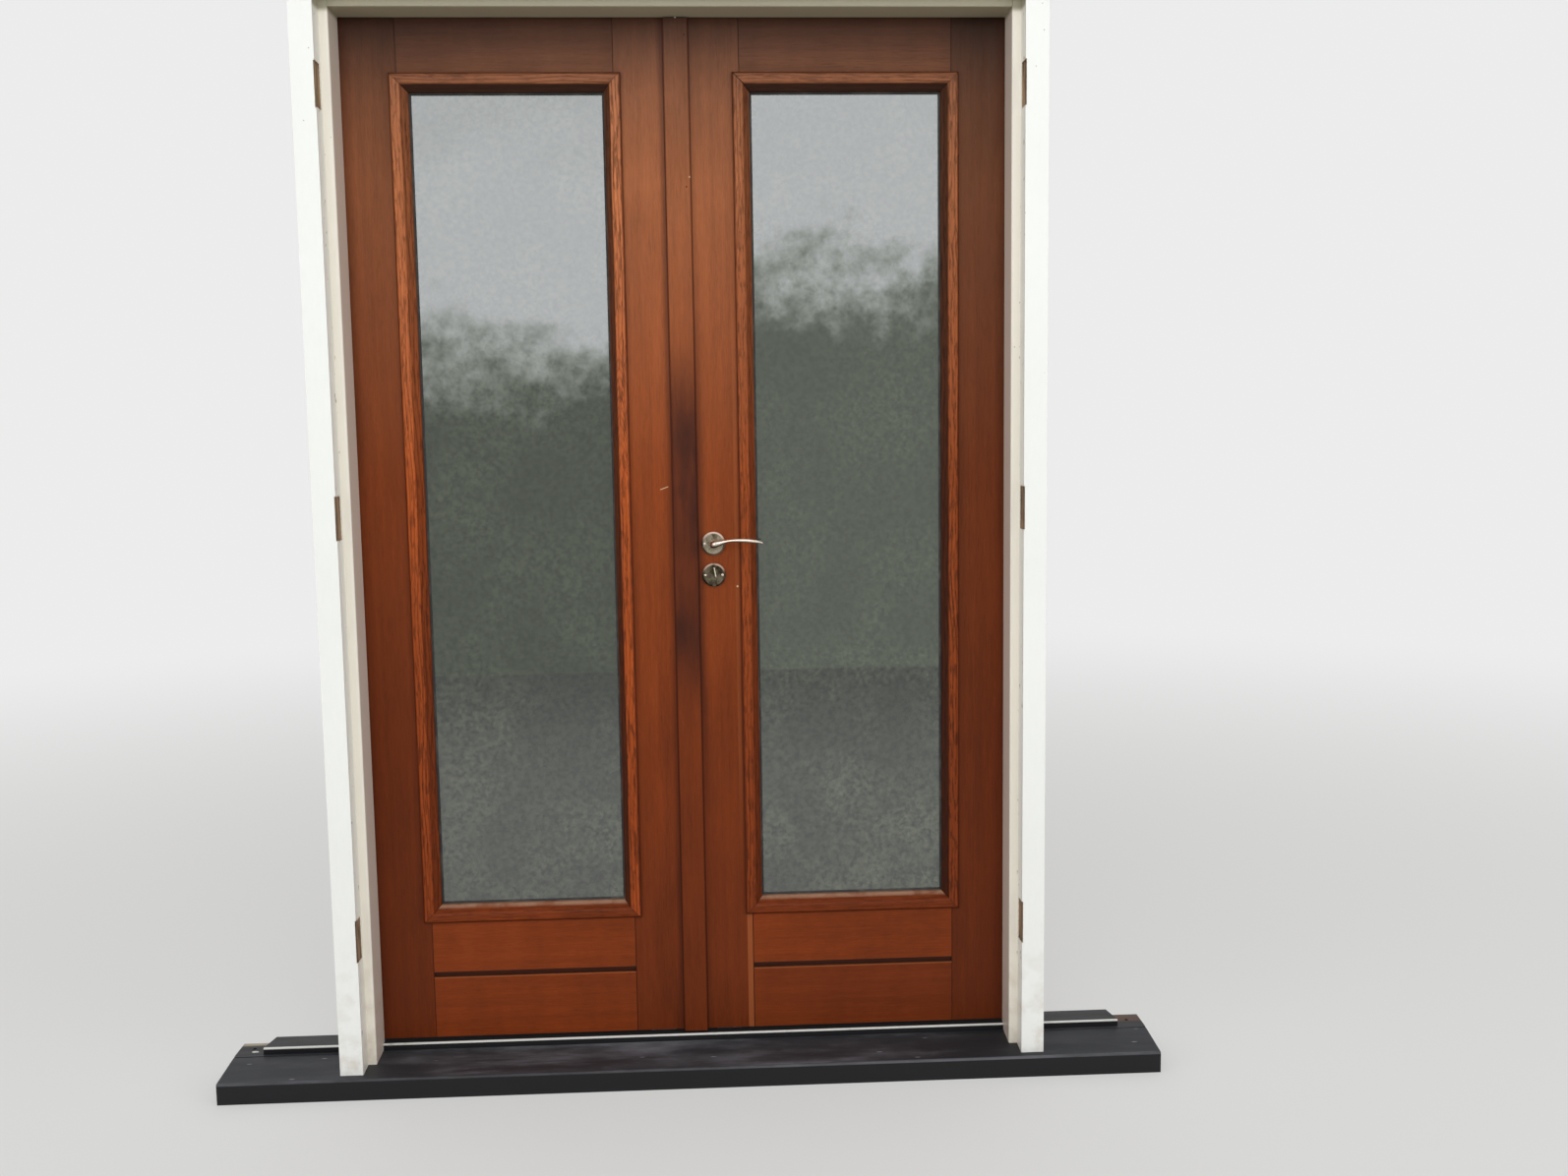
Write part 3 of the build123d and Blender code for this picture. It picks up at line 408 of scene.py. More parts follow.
def shoulder_marks(t, colour):
    """Dark lines where a rail meets its stiles, painted shade in the sunk joint and a painted highlight along
    its lower edge.
    """
    side = t.math("ABSOLUTE", t.x)
    low_end = t.remap(side, STILE_EDGE + 0.7 * MM, STILE_EDGE + 1.6 * MM, 0.8, 0.0)
    far = LEAF_LOW.x - 0.7 * MM
    high_end = t.remap(side, far - 0.9 * MM, far, 0.0, 0.8)
    low_edge = BOARD_JOINT - HALF_GROOVE
    # Painted shade in the sunk joint between the boards.
    groove = t.product(
        t.between(t.z, low_edge - 0.3 * MM, BOARD_JOINT + HALF_GROOVE + 1 * MM, 0.5 * MM),
        t.remap(t.y, LEAF_LOW.y + 8 * MM, LEAF_LOW.y + 9 * MM, 1.0, 0.0),
    )
    # Painted highlight along the lower edge of the sunk joint.
    light = t.between(t.z, low_edge - 3.2 * MM, low_edge - 1.2 * MM, 0.8 * MM)
    colour = t.mix(t.product(light, 0.35), colour, LIGHT_EDGE)
    return t.mix(t.largest(low_end, high_end, t.product(groove, 0.85)), colour, NAIL_JOINT_AND_SHADE)


# Shade of each moulding's slope, and the axis and direction that lead from it to the glass
SLOPE_DARK = {"left": 0.45, "right": 0.80, "top": 0.92, "bottom": 0.0}
INWARD = {"left": ("x", 1), "right": ("x", -1), "bottom": ("z", 1), "top": ("z", -1)}


def moulding_marks(leaf, place, side, open_corner):
    """Painted shadow along the outer edge, painted shade on the slope, dusty lip and dark mitres of one
    moulding.
    """
    low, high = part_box(leaf + "_moulding_" + place)
    axis, sign = INWARD[place]
    outer = getattr(low, axis) if sign > 0 else getattr(high, axis)
    mitres = mitre_marks(side, open_corner)

    def marks(t, colour):
        inward = t.product(t.math("SUBTRACT", getattr(t, axis), outer + sign * MOULDING_LAP), sign)
        # Painted shade on the slope down to the glass.
        slope = t.remap(inward, 6.5 * MM, 9.5 * MM, 0.0, SLOPE_DARK[place])
        colour = t.mix(slope, colour, PAINTED_SHADE_BROWN if place == "left" else NAIL_JOINT_AND_SHADE)
        # Painted shadow along the moulding's outer edge.
        colour = t.mix(t.remap(inward, -13.5 * MM, -10.5 * MM, 0.80, 0.0), colour, PAINTED_SHADE_BROWN)
        if place == "bottom":
            patch = t.remap(t.noise(30.0, detail=3.0), 0.30, 0.60, 0.35, 0.85)
            colour = t.mix(t.product(patch, t.remap(inward, 13 * MM, 18 * MM)), colour, DUSTY_WOOD)
        return mitres(t, colour)

    return marks


def mitre_marks(side, open_corner):
    """Dark lines at the mitres of one leaf's mouldings; one mitre stands open."""
    middle_x = side * (PANE_LOW.x + PANE_HIGH.x) / 2
    middle_z = (PANE_LOW.z + PANE_HIGH.z) / 2
    half_x = (PANE_HIGH.x - PANE_LOW.x) / 2
    half_z = (PANE_HIGH.z - PANE_LOW.z) / 2

    def marks(t, colour):
        across = t.math("SUBTRACT", t.math("ABSOLUTE", t.math("SUBTRACT", t.x, middle_x)), half_x)
        upward = t.math("SUBTRACT", t.math("ABSOLUTE", t.math("SUBTRACT", t.z, middle_z)), half_z)
        apart = t.math("ABSOLUTE", t.math("SUBTRACT", across, upward))
        line = t.remap(apart, 0.3 * MM, 1.1 * MM, 0.75, 0.0)
        if open_corner:
            leftward = t.remap(t.x, middle_x, middle_x - half_x)
            to_top = t.remap(t.z, middle_z, middle_z + half_z)
            corner = t.remap(t.product(leftward, to_top), 0.75, 0.95)
            line = t.largest(line, t.product(corner, t.remap(apart, 1.0 * MM, 2.2 * MM, 0.9, 0.0)))
        return t.mix(line, colour, NAIL_JOINT_AND_SHADE)

    return marks


def dress_leaves():
    """Wood for every board of both leaves, each with its own depth of colour and piece of grain."""
    uprights = {
        "left_hinge_stile": wood("left_outer_stile_wood", 0.90, seed=1.3, extra=outer_marks, top=0.92),
        "left_meeting_stile": wood("left_inner_stile_wood", 1.08, seed=2.9, extra=strip_side_marks, low=0.86),
        "right_meeting_stile": wood("right_inner_stile_wood", 1.08, seed=4.1, extra=lock_marks, low=0.88),
        "right_hinge_stile": wood("right_outer_stile_wood", 0.78, seed=5.7, extra=outer_marks, top=0.62),
        "meeting_strip": wood("meeting_strip_wood", 1.00, seed=6.3, extra=strip_marks, low=0.82),
    }
    for name, made in uprights.items():
        assign(made, name)
    rails = {
        "left_top_rail": 0.89,
        "right_top_rail": 0.87,
        "left_upper_board": 1.34,
        "left_lower_board": 1.30,
        "right_upper_board": 1.26,
        "right_lower_board": 1.06,
    }
    for index, (name, depth) in enumerate(rails.items()):
        made = wood(name + "_wood", depth, 8.0 + 1.7 * index, "x", 0.06, extra=shoulder_marks, dust=0.15)
        assign(made, name)
    lengths = (
        ("left", "z", {"left": 1.66, "right": 1.34}, 0.85),
        ("right", "z", {"left": 1.95, "right": 1.25}, 1.00),
        ("top", "x", {"left": 1.38, "right": 1.38}, 0.70),
        ("bottom", "x", {"left": 1.14, "right": 1.14}, 0.45),
    )
    for side, leaf in ((-1, "left"), (1, "right")):
        for index, (place, run, depths, figure) in enumerate(lengths):
            name = leaf + "_moulding_" + place
            arch = (ARCH_MIDDLE, centre(name).x) if name == "left_moulding_right" else None
            marks = moulding_marks(leaf, place, side, leaf == "right")
            seed = 20.0 + 3.1 * index + side
            assign(wood(name + "_wood", depths[leaf], seed, run, figure, arch, marks), name)
        assign(wood(leaf + "_bead_wood", 1.10, 33.0 + side, figure=0.20, dust=0.3), leaf + "_beads")


# Frame paint

PAINT_WHITE = srgb(246, 246, 244)
PAINT_GREY = srgb(246, 244, 237)
PAINT_CREAM = srgb(247, 240, 228)
PAINT_YELLOWED_AND_SHADED = srgb(226, 212, 200)
PAINT_HEAD_SHADE = srgb(138, 130, 100)
BARE_WOOD = srgb(172, 142, 112)
BARE_DARK = srgb(104, 80, 62)


def frame_paint():
    """White gloss paint, whitest in front and greyer, creamier and pinker deeper in the rebates, partly
    yellowed paint and partly painted shade, with painted shade on the head's soffit, chips and bare housings.
    """
    t = Tree("frame_paint")
    side = t.math("ABSOLUTE", t.x)
    broad = t.noise(3.0, detail=3.0)
    fine = t.noise(160.0, t.moved((0, 0, 0), (1, 1, 0.2)), detail=4.0)
    within = t.product(
        t.remap(side, FRAME_HIGH.x - 1.0 * MM, FRAME_HIGH.x - 0.3 * MM, 1.0, 0.0),
        t.remap(t.z, FRAME_HIGH.z - 1.0 * MM, FRAME_HIGH.z - 0.3 * MM, 1.0, 0.0),
    )
    # White front, greyer and creamier rebate faces: partly yellowed paint, partly painted shade.
    colour = t.mix(t.remap(t.y, 0.5 * MM, 3 * MM), PAINT_WHITE, PAINT_GREY)
    cream = t.product(within, t.remap(t.y, REBATE_DEPTH - 2 * MM, REBATE_DEPTH - 0.5 * MM))
    colour = t.mix(cream, colour, PAINT_CREAM)
    # Pinker, darker stop sides: partly yellowed paint, partly painted shade warmed by light off the wood.
    inner = t.product(within, t.remap(t.y, REBATE_DEPTH + 1 * MM, REBATE_DEPTH + 6 * MM))
    yellowed_and_shaded = t.product(inner, t.remap(t.y, STOP_BACK, STOP_BACK + 2 * MM, 1.0, 0.6))
    colour = t.mix(yellowed_and_shaded, colour, PAINT_YELLOWED_AND_SHADED)
    # Painted shade: olive darkening of the head's soffit and the rebate faces just below it.
    head_shade = t.product(
        t.remap(t.z, LEAF_HIGH.z - 28 * MM, LEAF_HIGH.z - 16 * MM),
        t.remap(t.z, LEAF_HIGH.z + 10 * MM, LEAF_HIGH.z + 18 * MM, 1.0, 0.0),
        t.remap(side, REBATE_SIDE + 12 * MM, REBATE_SIDE + 6 * MM),
        t.remap(t.y, 0.5 * MM, 3 * MM),
        t.remap(t.y, STOP_BACK, STOP_BACK + 2 * MM, 1.0, 0.0),
    )
    colour = t.mix(t.product(head_shade, 0.80), colour, PAINT_HEAD_SHADE)
    colour = t.scaled(colour, t.total(0.93, t.product(broad, 0.08), t.product(fine, 0.05)))
    grime = t.product(t.remap(t.z, 0.05, 0.42, 1.0, 0.0), t.remap(t.noise(22.0, detail=5.0), 0.42, 0.75))
    colour = t.mix(t.product(grime, 0.35), colour, BARE_WOOD)
    housing = t.between(side, REBATE_SIDE + 0.3 * MM, REBATE_SIDE + 4.0 * MM, 0.1 * MM)
    bare = t.product(housing, t.remap(t.y, 0.2 * MM, 0.4 * MM))
    ragged = 0.0
    for z in HINGE_MIDDLES:
        beside = t.between(t.z, z - HALF_HINGE, z + HALF_HINGE, 4 * MM)
        ragged = t.largest(t.product(beside, t.remap(t.y, 28 * MM, 34 * MM, 1.0, 0.0)), ragged)
    at_side = t.between(side, REBATE_SIDE - 0.8 * MM, REBATE_SIDE + 3.0 * MM, 0.4 * MM)
    flaked = t.product(ragged, at_side, t.remap(t.noise(240.0, detail=4.0), 0.50, 0.60))
    arris = t.between(side, REBATE_SIDE - 1.0 * MM, REBATE_SIDE + 0.6 * MM, 0.6 * MM)
    chips = t.product(arris, t.remap(t.noise(75.0, t.moved((3, 1, 2), (1, 1, 0.5)), detail=5.0), 0.66, 0.70))
    specks = t.product(t.remap(t.spots(34.0), 0.055, 0.035), t.remap(t.noise(1.7), 0.48, 0.55))
    stripped = t.math("MINIMUM", t.total(bare, flaked, t.product(chips, 0.7), t.product(specks, 0.6)), 1.0)
    streaks = t.noise(90.0, t.moved((1, 2, 3), (1, 1, 0.12)), detail=5.0)
    timber = t.mix(t.remap(streaks, 0.35, 0.65), BARE_DARK, BARE_WOOD)
    colour = t.mix(stripped, colour, timber)
    t.set(Base_Color=colour, Roughness=t.remap(stripped, 0, 1, 0.34, 0.80), Specular_IOR_Level=0.45)
    relief = t.total(t.product(stripped, -1.0), t.product(fine, 0.25), t.product(streaks, stripped, 0.4))
    t.bump(relief, 0.35, 0.6 * MM)
    return t.material


# Threshold

THRESHOLD_BLACK = srgb(24, 24, 27)
THRESHOLD_SLOPE = srgb(48, 49, 53)
DUST = srgb(150, 150, 158)
WORN_LINE = srgb(226, 224, 220)
SEAT_PAINT = srgb(176, 164, 140)
SEAT_BROWN = srgb(96, 62, 42)
NOSE_TOP = 46 * MM
LEDGE_FRONT = THRESHOLD_HIGH.y - 56 * MM
SEAT_INNER = THRESHOLD_HIGH.x - 75 * MM
SEAT_PATCH = Vector((-0.962, 0.113, 0.056))


def threshold_finish():
    """Black satin paint: scuffed slope, pale worn arris on the ledge, marks at both end seats."""
    t = Tree("threshold_finish")
    front = THRESHOLD_LOW.y
    side = t.math("ABSOLUTE", t.x)
    drag = t.noise(9.0, t.moved((0, 0, 0), (0.25, 1.6, 1)), detail=5.0, roughness=0.65)
    patch = t.noise(4.2, t.moved((5, 0, 0), (0.6, 2.0, 1)), detail=6.0, roughness=0.6)
    grain = t.noise(300.0, t.moved((0, 0, 0), (0.15, 1, 1)), detail=3.0)
    over_slope = t.between(t.y, front + 5 * MM, LEDGE_FRONT - 3 * MM, 1 * MM)
    on_slope = t.product(over_slope, t.remap(t.z, NOSE_TOP - 3 * MM, NOSE_TOP))
    slope_colour = t.scaled(THRESHOLD_SLOPE, t.remap(t.x, 0.2, 0.9, 1.0, 0.7))
    colour = t.mix(on_slope, THRESHOLD_BLACK, slope_colour)
    trodden = t.product(on_slope, t.remap(side, 0.55, 0.75, 1.0, 0.25))
    scuff = t.product(trodden, t.remap(patch, 0.42, 0.70), t.remap(drag, 0.34, 0.62))
    colour = t.mix(t.product(scuff, 0.55), colour, DUST)
    scratch = t.product(t.remap(t.spots(38.0, t.moved((2, 0, 0), (0.22, 1.0, 1.0))), 0.075, 0.03), on_slope)
    colour = t.mix(t.product(scratch, 0.8), colour, DUST)
    nose_edge = t.product(
        t.between(t.y, front, front + 4 * MM, 1 * MM),
        t.between(t.z, NOSE_TOP - 4 * MM, NOSE_TOP + 1 * MM, 1 * MM),
    )
    colour = t.mix(t.product(nose_edge, t.remap(drag, 0.35, 0.65, 0.08, 0.34)), colour, DUST)
    line = t.product(
        t.between(t.y, LEDGE_FRONT - 1 * MM, LEDGE_FRONT + 2.6 * MM, 0.7 * MM),
        t.remap(t.z, THRESHOLD_HIGH.z - 4.5 * MM, THRESHOLD_HIGH.z - 3.0 * MM),
        t.remap(t.noise(14.0, detail=6.0, roughness=0.7), 0.26, 0.42, 0.55, 1.0),
    )
    colour = t.mix(line, colour, WORN_LINE)
    seat = t.product(t.remap(side, SEAT_INNER, SEAT_INNER + 5 * MM), t.between(t.z, 50 * MM, 58 * MM, 2 * MM))
    back_edge = t.remap(t.y, THRESHOLD_HIGH.y - 18 * MM, THRESHOLD_HIGH.y - 6 * MM)
    residue = t.product(seat, back_edge, t.remap(drag, 0.36, 0.52), t.remap(t.x, -0.5, 0.5, 1.0, 0.15))
    colour = t.mix(residue, colour, SEAT_PAINT)
    brown = t.product(
        seat,
        t.remap(t.x, 0.5, 0.9),
        t.remap(t.y, THRESHOLD_HIGH.y - 44 * MM, THRESHOLD_HIGH.y - 24 * MM),
        t.remap(patch, 0.35, 0.55),
    )
    colour = t.mix(t.product(brown, 0.8), colour, SEAT_BROWN)
    from_patch = t.length(t.moved(-SEAT_PATCH, (0.55, 1.0, 1.0)))
    wobble = t.total(from_patch, t.product(t.noise(130.0, detail=3.0), 4 * MM))
    colour = t.mix(t.remap(wobble, 5.5 * MM, 7.0 * MM, 0.9, 0.0), colour, WORN_LINE)
    t.set(Base_Color=colour, Roughness=t.remap(drag, 0.3, 0.7, 0.36, 0.58), Specular_IOR_Level=0.28)
    t.bump(t.total(t.product(grain, 0.4), t.product(scuff, 0.8), t.product(line, 0.5)), 0.25, 0.5 * MM)
    return t.material


# Glass, metal, rubber

def glass_finish():
    """Glass with a dark tint that partly stands in for shade behind it, a strong reflection, and a mottled
    pale film that thickens downwards, partly dust and partly a painted reflection of the ground.
    """
    t = Tree("glass_with_painted_shade_and_reflection")
    film = t.noise(95.0, detail=5.0, roughness=0.75)
    cloud = t.noise(6.0, detail=4.0)
    wave = t.noise(2.3, t.moved((4, 2, 7)), detail=1.0)
    # Pale mottled film, thickest low down: partly dust, partly a painted reflection of the ground.
    low = t.remap(t.z, PANE_LOW.z, PANE_LOW.z + 0.75, 1.0, 0.45)
    dust = t.product(t.remap(film, 0.34, 0.70), t.remap(cloud, 0.35, 0.65, 0.45, 1.0), low)
    # Dark tint partly stands in for shade behind the glass.
    colour = t.mix(dust, srgb(36, 45, 38), srgb(132, 139, 116))
    t.set(
        Base_Color=colour,
        Roughness=t.remap(dust, 0.0, 1.0, 0.015, 0.10),
        IOR=2.15,
        Transmission_Weight=0.50,
    )
    t.bump(wave, 0.05, 2 * MM)
    return t.material


def metal(name, colour, roughness, wear=0.25, underside_shade=0.0):
    """Metal with a fine grain, smudges and worn spots, and with painted shade darkening the faces that look
    down, where asked.
    """
    t = Tree(name)
    brushed = t.noise(900.0, detail=3.0)
    smudge = t.noise(55.0, detail=4.0)
    pits = t.remap(t.spots(420.0), 0.18, 0.08)
    shade = t.total(1.0 - wear * 0.5, t.product(smudge, wear), t.product(brushed, 0.10))
    base = t.scaled(t.mix(t.product(pits, 0.25), colour, srgb(60, 54, 46)), shade)
    # Painted shade: darkening of faces that look down.
    if underside_shade:
        base = t.mix(t.remap(t.upward(), -0.10, -0.60, 0.0, underside_shade), base, srgb(38, 32, 26))
    rough = t.remap(smudge, 0.3, 0.7, roughness - 0.06, roughness + 0.12)
    t.set(Base_Color=base, Metallic=1.0, Roughness=rough)
    t.bump(t.total(t.product(brushed, 0.4), t.product(pits, -0.3)), 0.12, 0.2 * MM)
    return t.material


def rubber(name, colour):
    """Rubber or plastic with a faint skin."""
    t = Tree(name)
    skin = t.noise(520.0, detail=3.0)
    dusty = t.remap(t.noise(26.0, detail=5.0), 0.45, 0.75)
    t.set(
        Base_Color=t.mix(t.product(dusty, 0.25), colour, srgb(120, 116, 108)),
        Roughness=t.remap(skin, 0.3, 0.7, 0.5, 0.7),
    )
    t.bump(skin, 0.2, 0.2 * MM)
    return t.material


def glint_line(t):
    """Painted highlight: a bright, slightly leaning glint line on the front of the cylinder and of the rose
    round it.
    """
    slant = 0.185
    aside = t.total(t.x, t.product(t.z, slant), -(LEVER_X + 3.6 * MM + slant * CYLINDER_Z))
    return t.product(
        t.between(aside, -0.7 * MM, 0.7 * MM, 0.6 * MM),
        t.between(t.z, CYLINDER_Z - 3 * MM, CYLINDER_Z + 15 * MM, 1.5 * MM),
        t.remap(t.y, LEAF_LOW.y - 2 * MM, LEAF_LOW.y - 4 * MM),
    )


def plate_finish(name, dark, light, rim, lit_edge=False):
    """Worn rose: mottled face, with a painted highlight on the rim where it looks up and painted shade where
    it looks down.
    """
    t = Tree(name)
    blotch = t.noise(70.0, t.moved((0, 0, 0), (1, 1, 0.6)), detail=4.0, roughness=0.65)
    fine = t.noise(420.0, detail=3.0)
    rise = t.upward()
    worn = t.total(t.product(blotch, 0.8), t.product(fine, 0.2))
    base = t.mix(t.remap(worn, 0.36, 0.62), dark, light)
    # Painted highlight where the rim looks up, painted shade where it looks down.
    base = t.mix(t.remap(rise, 0.12, 0.45), base, rim)
    base = t.mix(t.remap(rise, -0.12, -0.45, 0.0, 0.6), base, dark)
    height = worn
    if lit_edge:
        # Painted highlight of the glint along the plug's edge.
        line = glint_line(t)
        base = t.mix(line, base, srgb(250, 240, 220))
        height = t.total(worn, t.product(line, 2.0))
    t.set(Base_Color=base, Metallic=1.0, Roughness=t.remap(worn, 0.3, 0.7, 0.26, 0.42))
    t.bump(height, 0.15, 0.2 * MM)
    return t.material


def dress_fittings():
    """Materials of everything that isn't wood."""
    assign(frame_paint(), "left_jamb", "right_jamb", "head")
    assign(threshold_finish(), "threshold")
    satin = metal("satin_nickel", srgb(190, 178, 164), 0.26)
    bright = metal("bright_nickel", srgb(234, 218, 204), 0.22, wear=0.15, underside_shade=0.85)
    zinc = metal("zinc_plated_steel", srgb(176, 176, 172), 0.36, wear=0.35)
    keeps = metal("worn_keep", srgb(184, 180, 172), 0.40, wear=0.6)
    plate = plate_finish("lever_rose_nickel", srgb(92, 80, 66), srgb(176, 162, 144), srgb(244, 220, 204))
    dull = plate_finish(
        "cylinder_rose_nickel",
        srgb(52, 44, 33),
        srgb(118, 106, 90),
        srgb(214, 186, 166),
        lit_edge=True,
    )
    seal = rubber("black_rubber", srgb(28, 28, 28))
    glass = glass_finish()
    for leaf in ("left", "right"):
        assign(glass, leaf + "_panes")
        assign(metal(leaf + "_spacer_metal", srgb(150, 150, 148), 0.45), leaf + "_spacer")
        assign(seal, leaf + "_glazing_tape")
        assign(rubber(leaf + "_packer_plastic", srgb(60, 66, 92)), leaf + "_glazing_packers")
        assign(zinc, leaf + "_hinge_plates", leaf + "_top_rod", leaf + "_bottom_rod")
    assign(seal, "frame_seal", "meeting_seal")
    assign(keeps, "bolt_keeps")
    assign(zinc, "frame_hinge_plates", "hinge_pins", "lock_case", "bolt_gear", "spindle", "follower")
    assign(satin, "lock_faceplate", "strike_plate", "bolt_plate")
    assign(bright, "bolt_handle", "outside_lever", "inside_lever")
    assign(plate, "lever_roses")
    assign(dull, "cylinder_roses", "cylinder_body", "cylinder_turn")
    assign(zinc, "latch_bolt", "deadbolt")
    return satin, bright, zinc, seal


# Pieces in mesh code

def finish_piece(name, mesh, material, body, smooth=True):
    """Object from a bmesh, in place, riding on its body."""
    bmesh.ops.recalc_face_normals(mesh, faces=mesh.faces)
    data = bpy.data.meshes.new(name)
    mesh.to_mesh(data)
    mesh.free()
    data.materials.append(material)
    for face in data.polygons:
        face.use_smooth = smooth
    made = bpy.data.objects.new(name, data)
    bpy.context.scene.collection.objects.link(made)
    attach(made, body)
    return made


def rings_to_skin(mesh, rings):
    """Skin of quads between rings of points, with both ends filled."""
    made = [[mesh.verts.new(point) for point in ring] for ring in rings]
    count = len(made[0])
    for lower, upper in zip(made, made[1:]):
        for index in range(count):
            following = (index + 1) % count
            mesh.faces.new((lower[index], lower[following], upper[following], upper[index]))
    mesh.faces.new(list(reversed(made[0])))
    mesh.faces.new(made[-1])


def frame_for(axis):
    """Two directions square to an axis."""
    helper = UP if abs(axis.z) < 0.9 else RIGHT
    first = axis.cross(helper).normalized()
    return first, axis.cross(first).normalized()


# Screw head as (share of the radius, share of the height, depth of the cross), from the rim to the middle
SCREW_PROFILE = (
    (1.00, -0.10, 0.0),
    (1.00, 0.30, 0.0),
    (0.88, 0.72, 0.0),
    (0.66, 0.94, 0.0),
    (0.50, 1.00, 0.14),
    (0.40, 0.98, 0.30),
    (0.30, 0.30, 0.34),
    (0.10, 0.10, 0.0),
)
SCREW_SIDES = 32


def add_screw(mesh, place, axis, radius, height, turn):
    """Domed screw head with a cross recess."""
    first, second = frame_for(axis)
    rings = []
    for reach, rise, lobes in SCREW_PROFILE:
        ring = []
        for index in range(SCREW_SIDES):
            angle = TURN * index / SCREW_SIDES
            spread = radius * reach * (1 + lobes * math.cos(4 * (angle + turn)))
            aside = spread * (math.cos(angle) * first + math.sin(angle) * second)
            ring.append(place + aside + axis * height * rise)
        rings.append(ring)
    rings_to_skin(mesh, rings)


def screws(name, places, body, material, radius, height):
    """Group of screw heads, each turned its own way; places are (point, outward axis)."""
    mesh = bmesh.new()
    for index, (point, axis) in enumerate(places):
        add_screw(mesh, Vector(point), axis, radius * MM, height * MM, turn=0.5 + 1.1 * index)
    finish_piece(name, mesh, material, body)


def add_rose_screws(material):
    """Two screw heads on each side of both pairs of roses."""
    reach = 18.2 * MM
    for name, z in (("lever_rose_screws", LEVER_Z), ("cylinder_rose_screws", CYLINDER_Z)):
        places = []
        for side in (-1, 1):
            places.append(((LEVER_X + side * reach, ROSE_LOW.y, z), FRONT))
            places.append(((LEVER_X + side * reach, ROSE_HIGH.y, z), BACK))
        screws(name, places, "right_leaf", material, radius=2.6, height=0.8)


def add_keep_screws(material):
    """Two screw heads on each of the four rod keeps."""
    reach = 19 * MM
    lip = 2 * MM
    head_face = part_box("bolt_keeps")[1].z - lip
    places = []
    for side in (-1, 1):
        for end in (-1, 1):
            x = side * centre("right_top_rod").x + end * reach
            places.append(((x, LEAF_MID, THRESHOLD_HIGH.z), UP))
            places.append(((x, LEAF_MID, head_face), DOWN))
    screws("keep_screws", places, "frame", material, radius=3.2, height=0.7)


def add_lock_screws(material):
    """Screw heads of the lock's faceplate, of the strike plate and of the bolt plate."""
    edge_inset = 11 * MM
    low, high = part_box("lock_faceplate")
    places = [((low.x, LEAF_MID, z), LEFT) for z in (low.z + edge_inset, high.z - edge_inset)]
    screws("faceplate_screws", places, "right_leaf", material, radius=3.4, height=0.6)
    low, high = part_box("strike_plate")
    places = [((high.x, LEAF_MID, z), RIGHT) for z in (low.z + edge_inset, high.z - edge_inset)]
    screws("strike_screws", places, "left_leaf", material, radius=3.4, height=0.6)
    side_inset = 8 * MM
    end_inset = 10 * MM
    low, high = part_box("bolt_plate")
    places = []
    for x in (low.x + side_inset, high.x - side_inset):
        for z in (low.z + end_inset, high.z - end_inset):
            places.append(((x, high.y, z), BACK))
    screws("bolt_plate_screws", places, "left_leaf", material, radius=3.0, height=0.9)


def add_hinge_screws(material):
    """Three screw heads on each half of the six hinges."""
    pattern = ((-31, 5), (0, -5), (31, 5))
    plate_y = LEAF_HIGH.y - 15 * MM
    on_frame = []
    on_leaf = {-1: [], 1: []}
    for side in (-1, 1):
        outward = RIGHT * side
        for middle in HINGE_MIDDLES:
            for step, stagger in pattern:
                y = plate_y + stagger * MM
                z = middle + step * MM
                on_frame.append(((side * REBATE_SIDE, y, z), -outward))
                on_leaf[side].append(((side * LEAF_HIGH.x, y, z), outward))
    for name, places, body in (
        ("frame_hinge_screws", on_frame, "frame"),
        ("left_hinge_screws", on_leaf[-1], "left_leaf"),
        ("right_hinge_screws", on_leaf[1], "right_leaf"),
    ):
        screws(name, places, body, material, radius=3.6, height=0.35)


# Lever in mm as (along the blade, away from the leaf, rise, half depth, half height), from the rose outwards
LEVER_STATIONS = (
    (0.0, 0.0, 0.0, 8.4, 8.4),
    (0.0, 12.0, 0.0, 8.2, 8.2),
    (0.0, 24.0, 0.0, 8.2, 8.2),
    (0.8, 31.5, 0.2, 8.2, 8.2),
    (4.5, 36.6, 1.0, 7.6, 7.4),
    (11.0, 38.6, 2.6, 6.0, 5.8),
    (20.0, 38.4, 5.4, 4.7, 4.0),
    (32.0, 37.6, 7.9, 4.3, 3.2),
    (46.0, 36.5, 8.5, 4.1, 3.7),
    (62.0, 35.2, 8.1, 3.9, 4.2),
    (78.0, 33.8, 6.8, 3.5, 4.2),
    (91.0, 32.4, 4.9, 3.0, 3.5),
    (100.0, 31.4, 3.0, 2.5, 2.6),
    (105.0, 30.8, 1.7, 1.3, 1.2),
)
LEVER_SIDES = 20


def lever(name, node, start_y, outward, material):
    """Curved lever: round neck that turns along the leaf and thins into a blade with a drooping tip."""
    points = []
    for along, away, rise, _, _ in LEVER_STATIONS:
        points.append(Vector((LEVER_X + along * MM, start_y + outward * away * MM, LEVER_Z + rise * MM)))
    mesh = bmesh.new()
    rings = []
    for index, (_, _, _, half_depth, half_height) in enumerate(LEVER_STATIONS):
        before = points[max(index - 1, 0)]
        after = points[min(index + 1, len(points) - 1)]
        ahead = (after - before).normalized()
        sideways = ahead.cross(UP).normalized()
        upward = sideways.cross(ahead).normalized()
        ring = []
        for step in range(LEVER_SIDES):
            angle = TURN * step / LEVER_SIDES
            ring.append(
                points[index]
                + sideways * half_depth * MM * math.cos(angle)
                + upward * half_height * MM * math.sin(angle)
            )
        rings.append(ring)
    rings_to_skin(mesh, rings)
    made = finish_piece(name, mesh, material, "lever")
    smooth = made.modifiers.new("smooth", "SUBSURF")
    smooth.levels = 2
    smooth.render_levels = 2
    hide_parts(node)


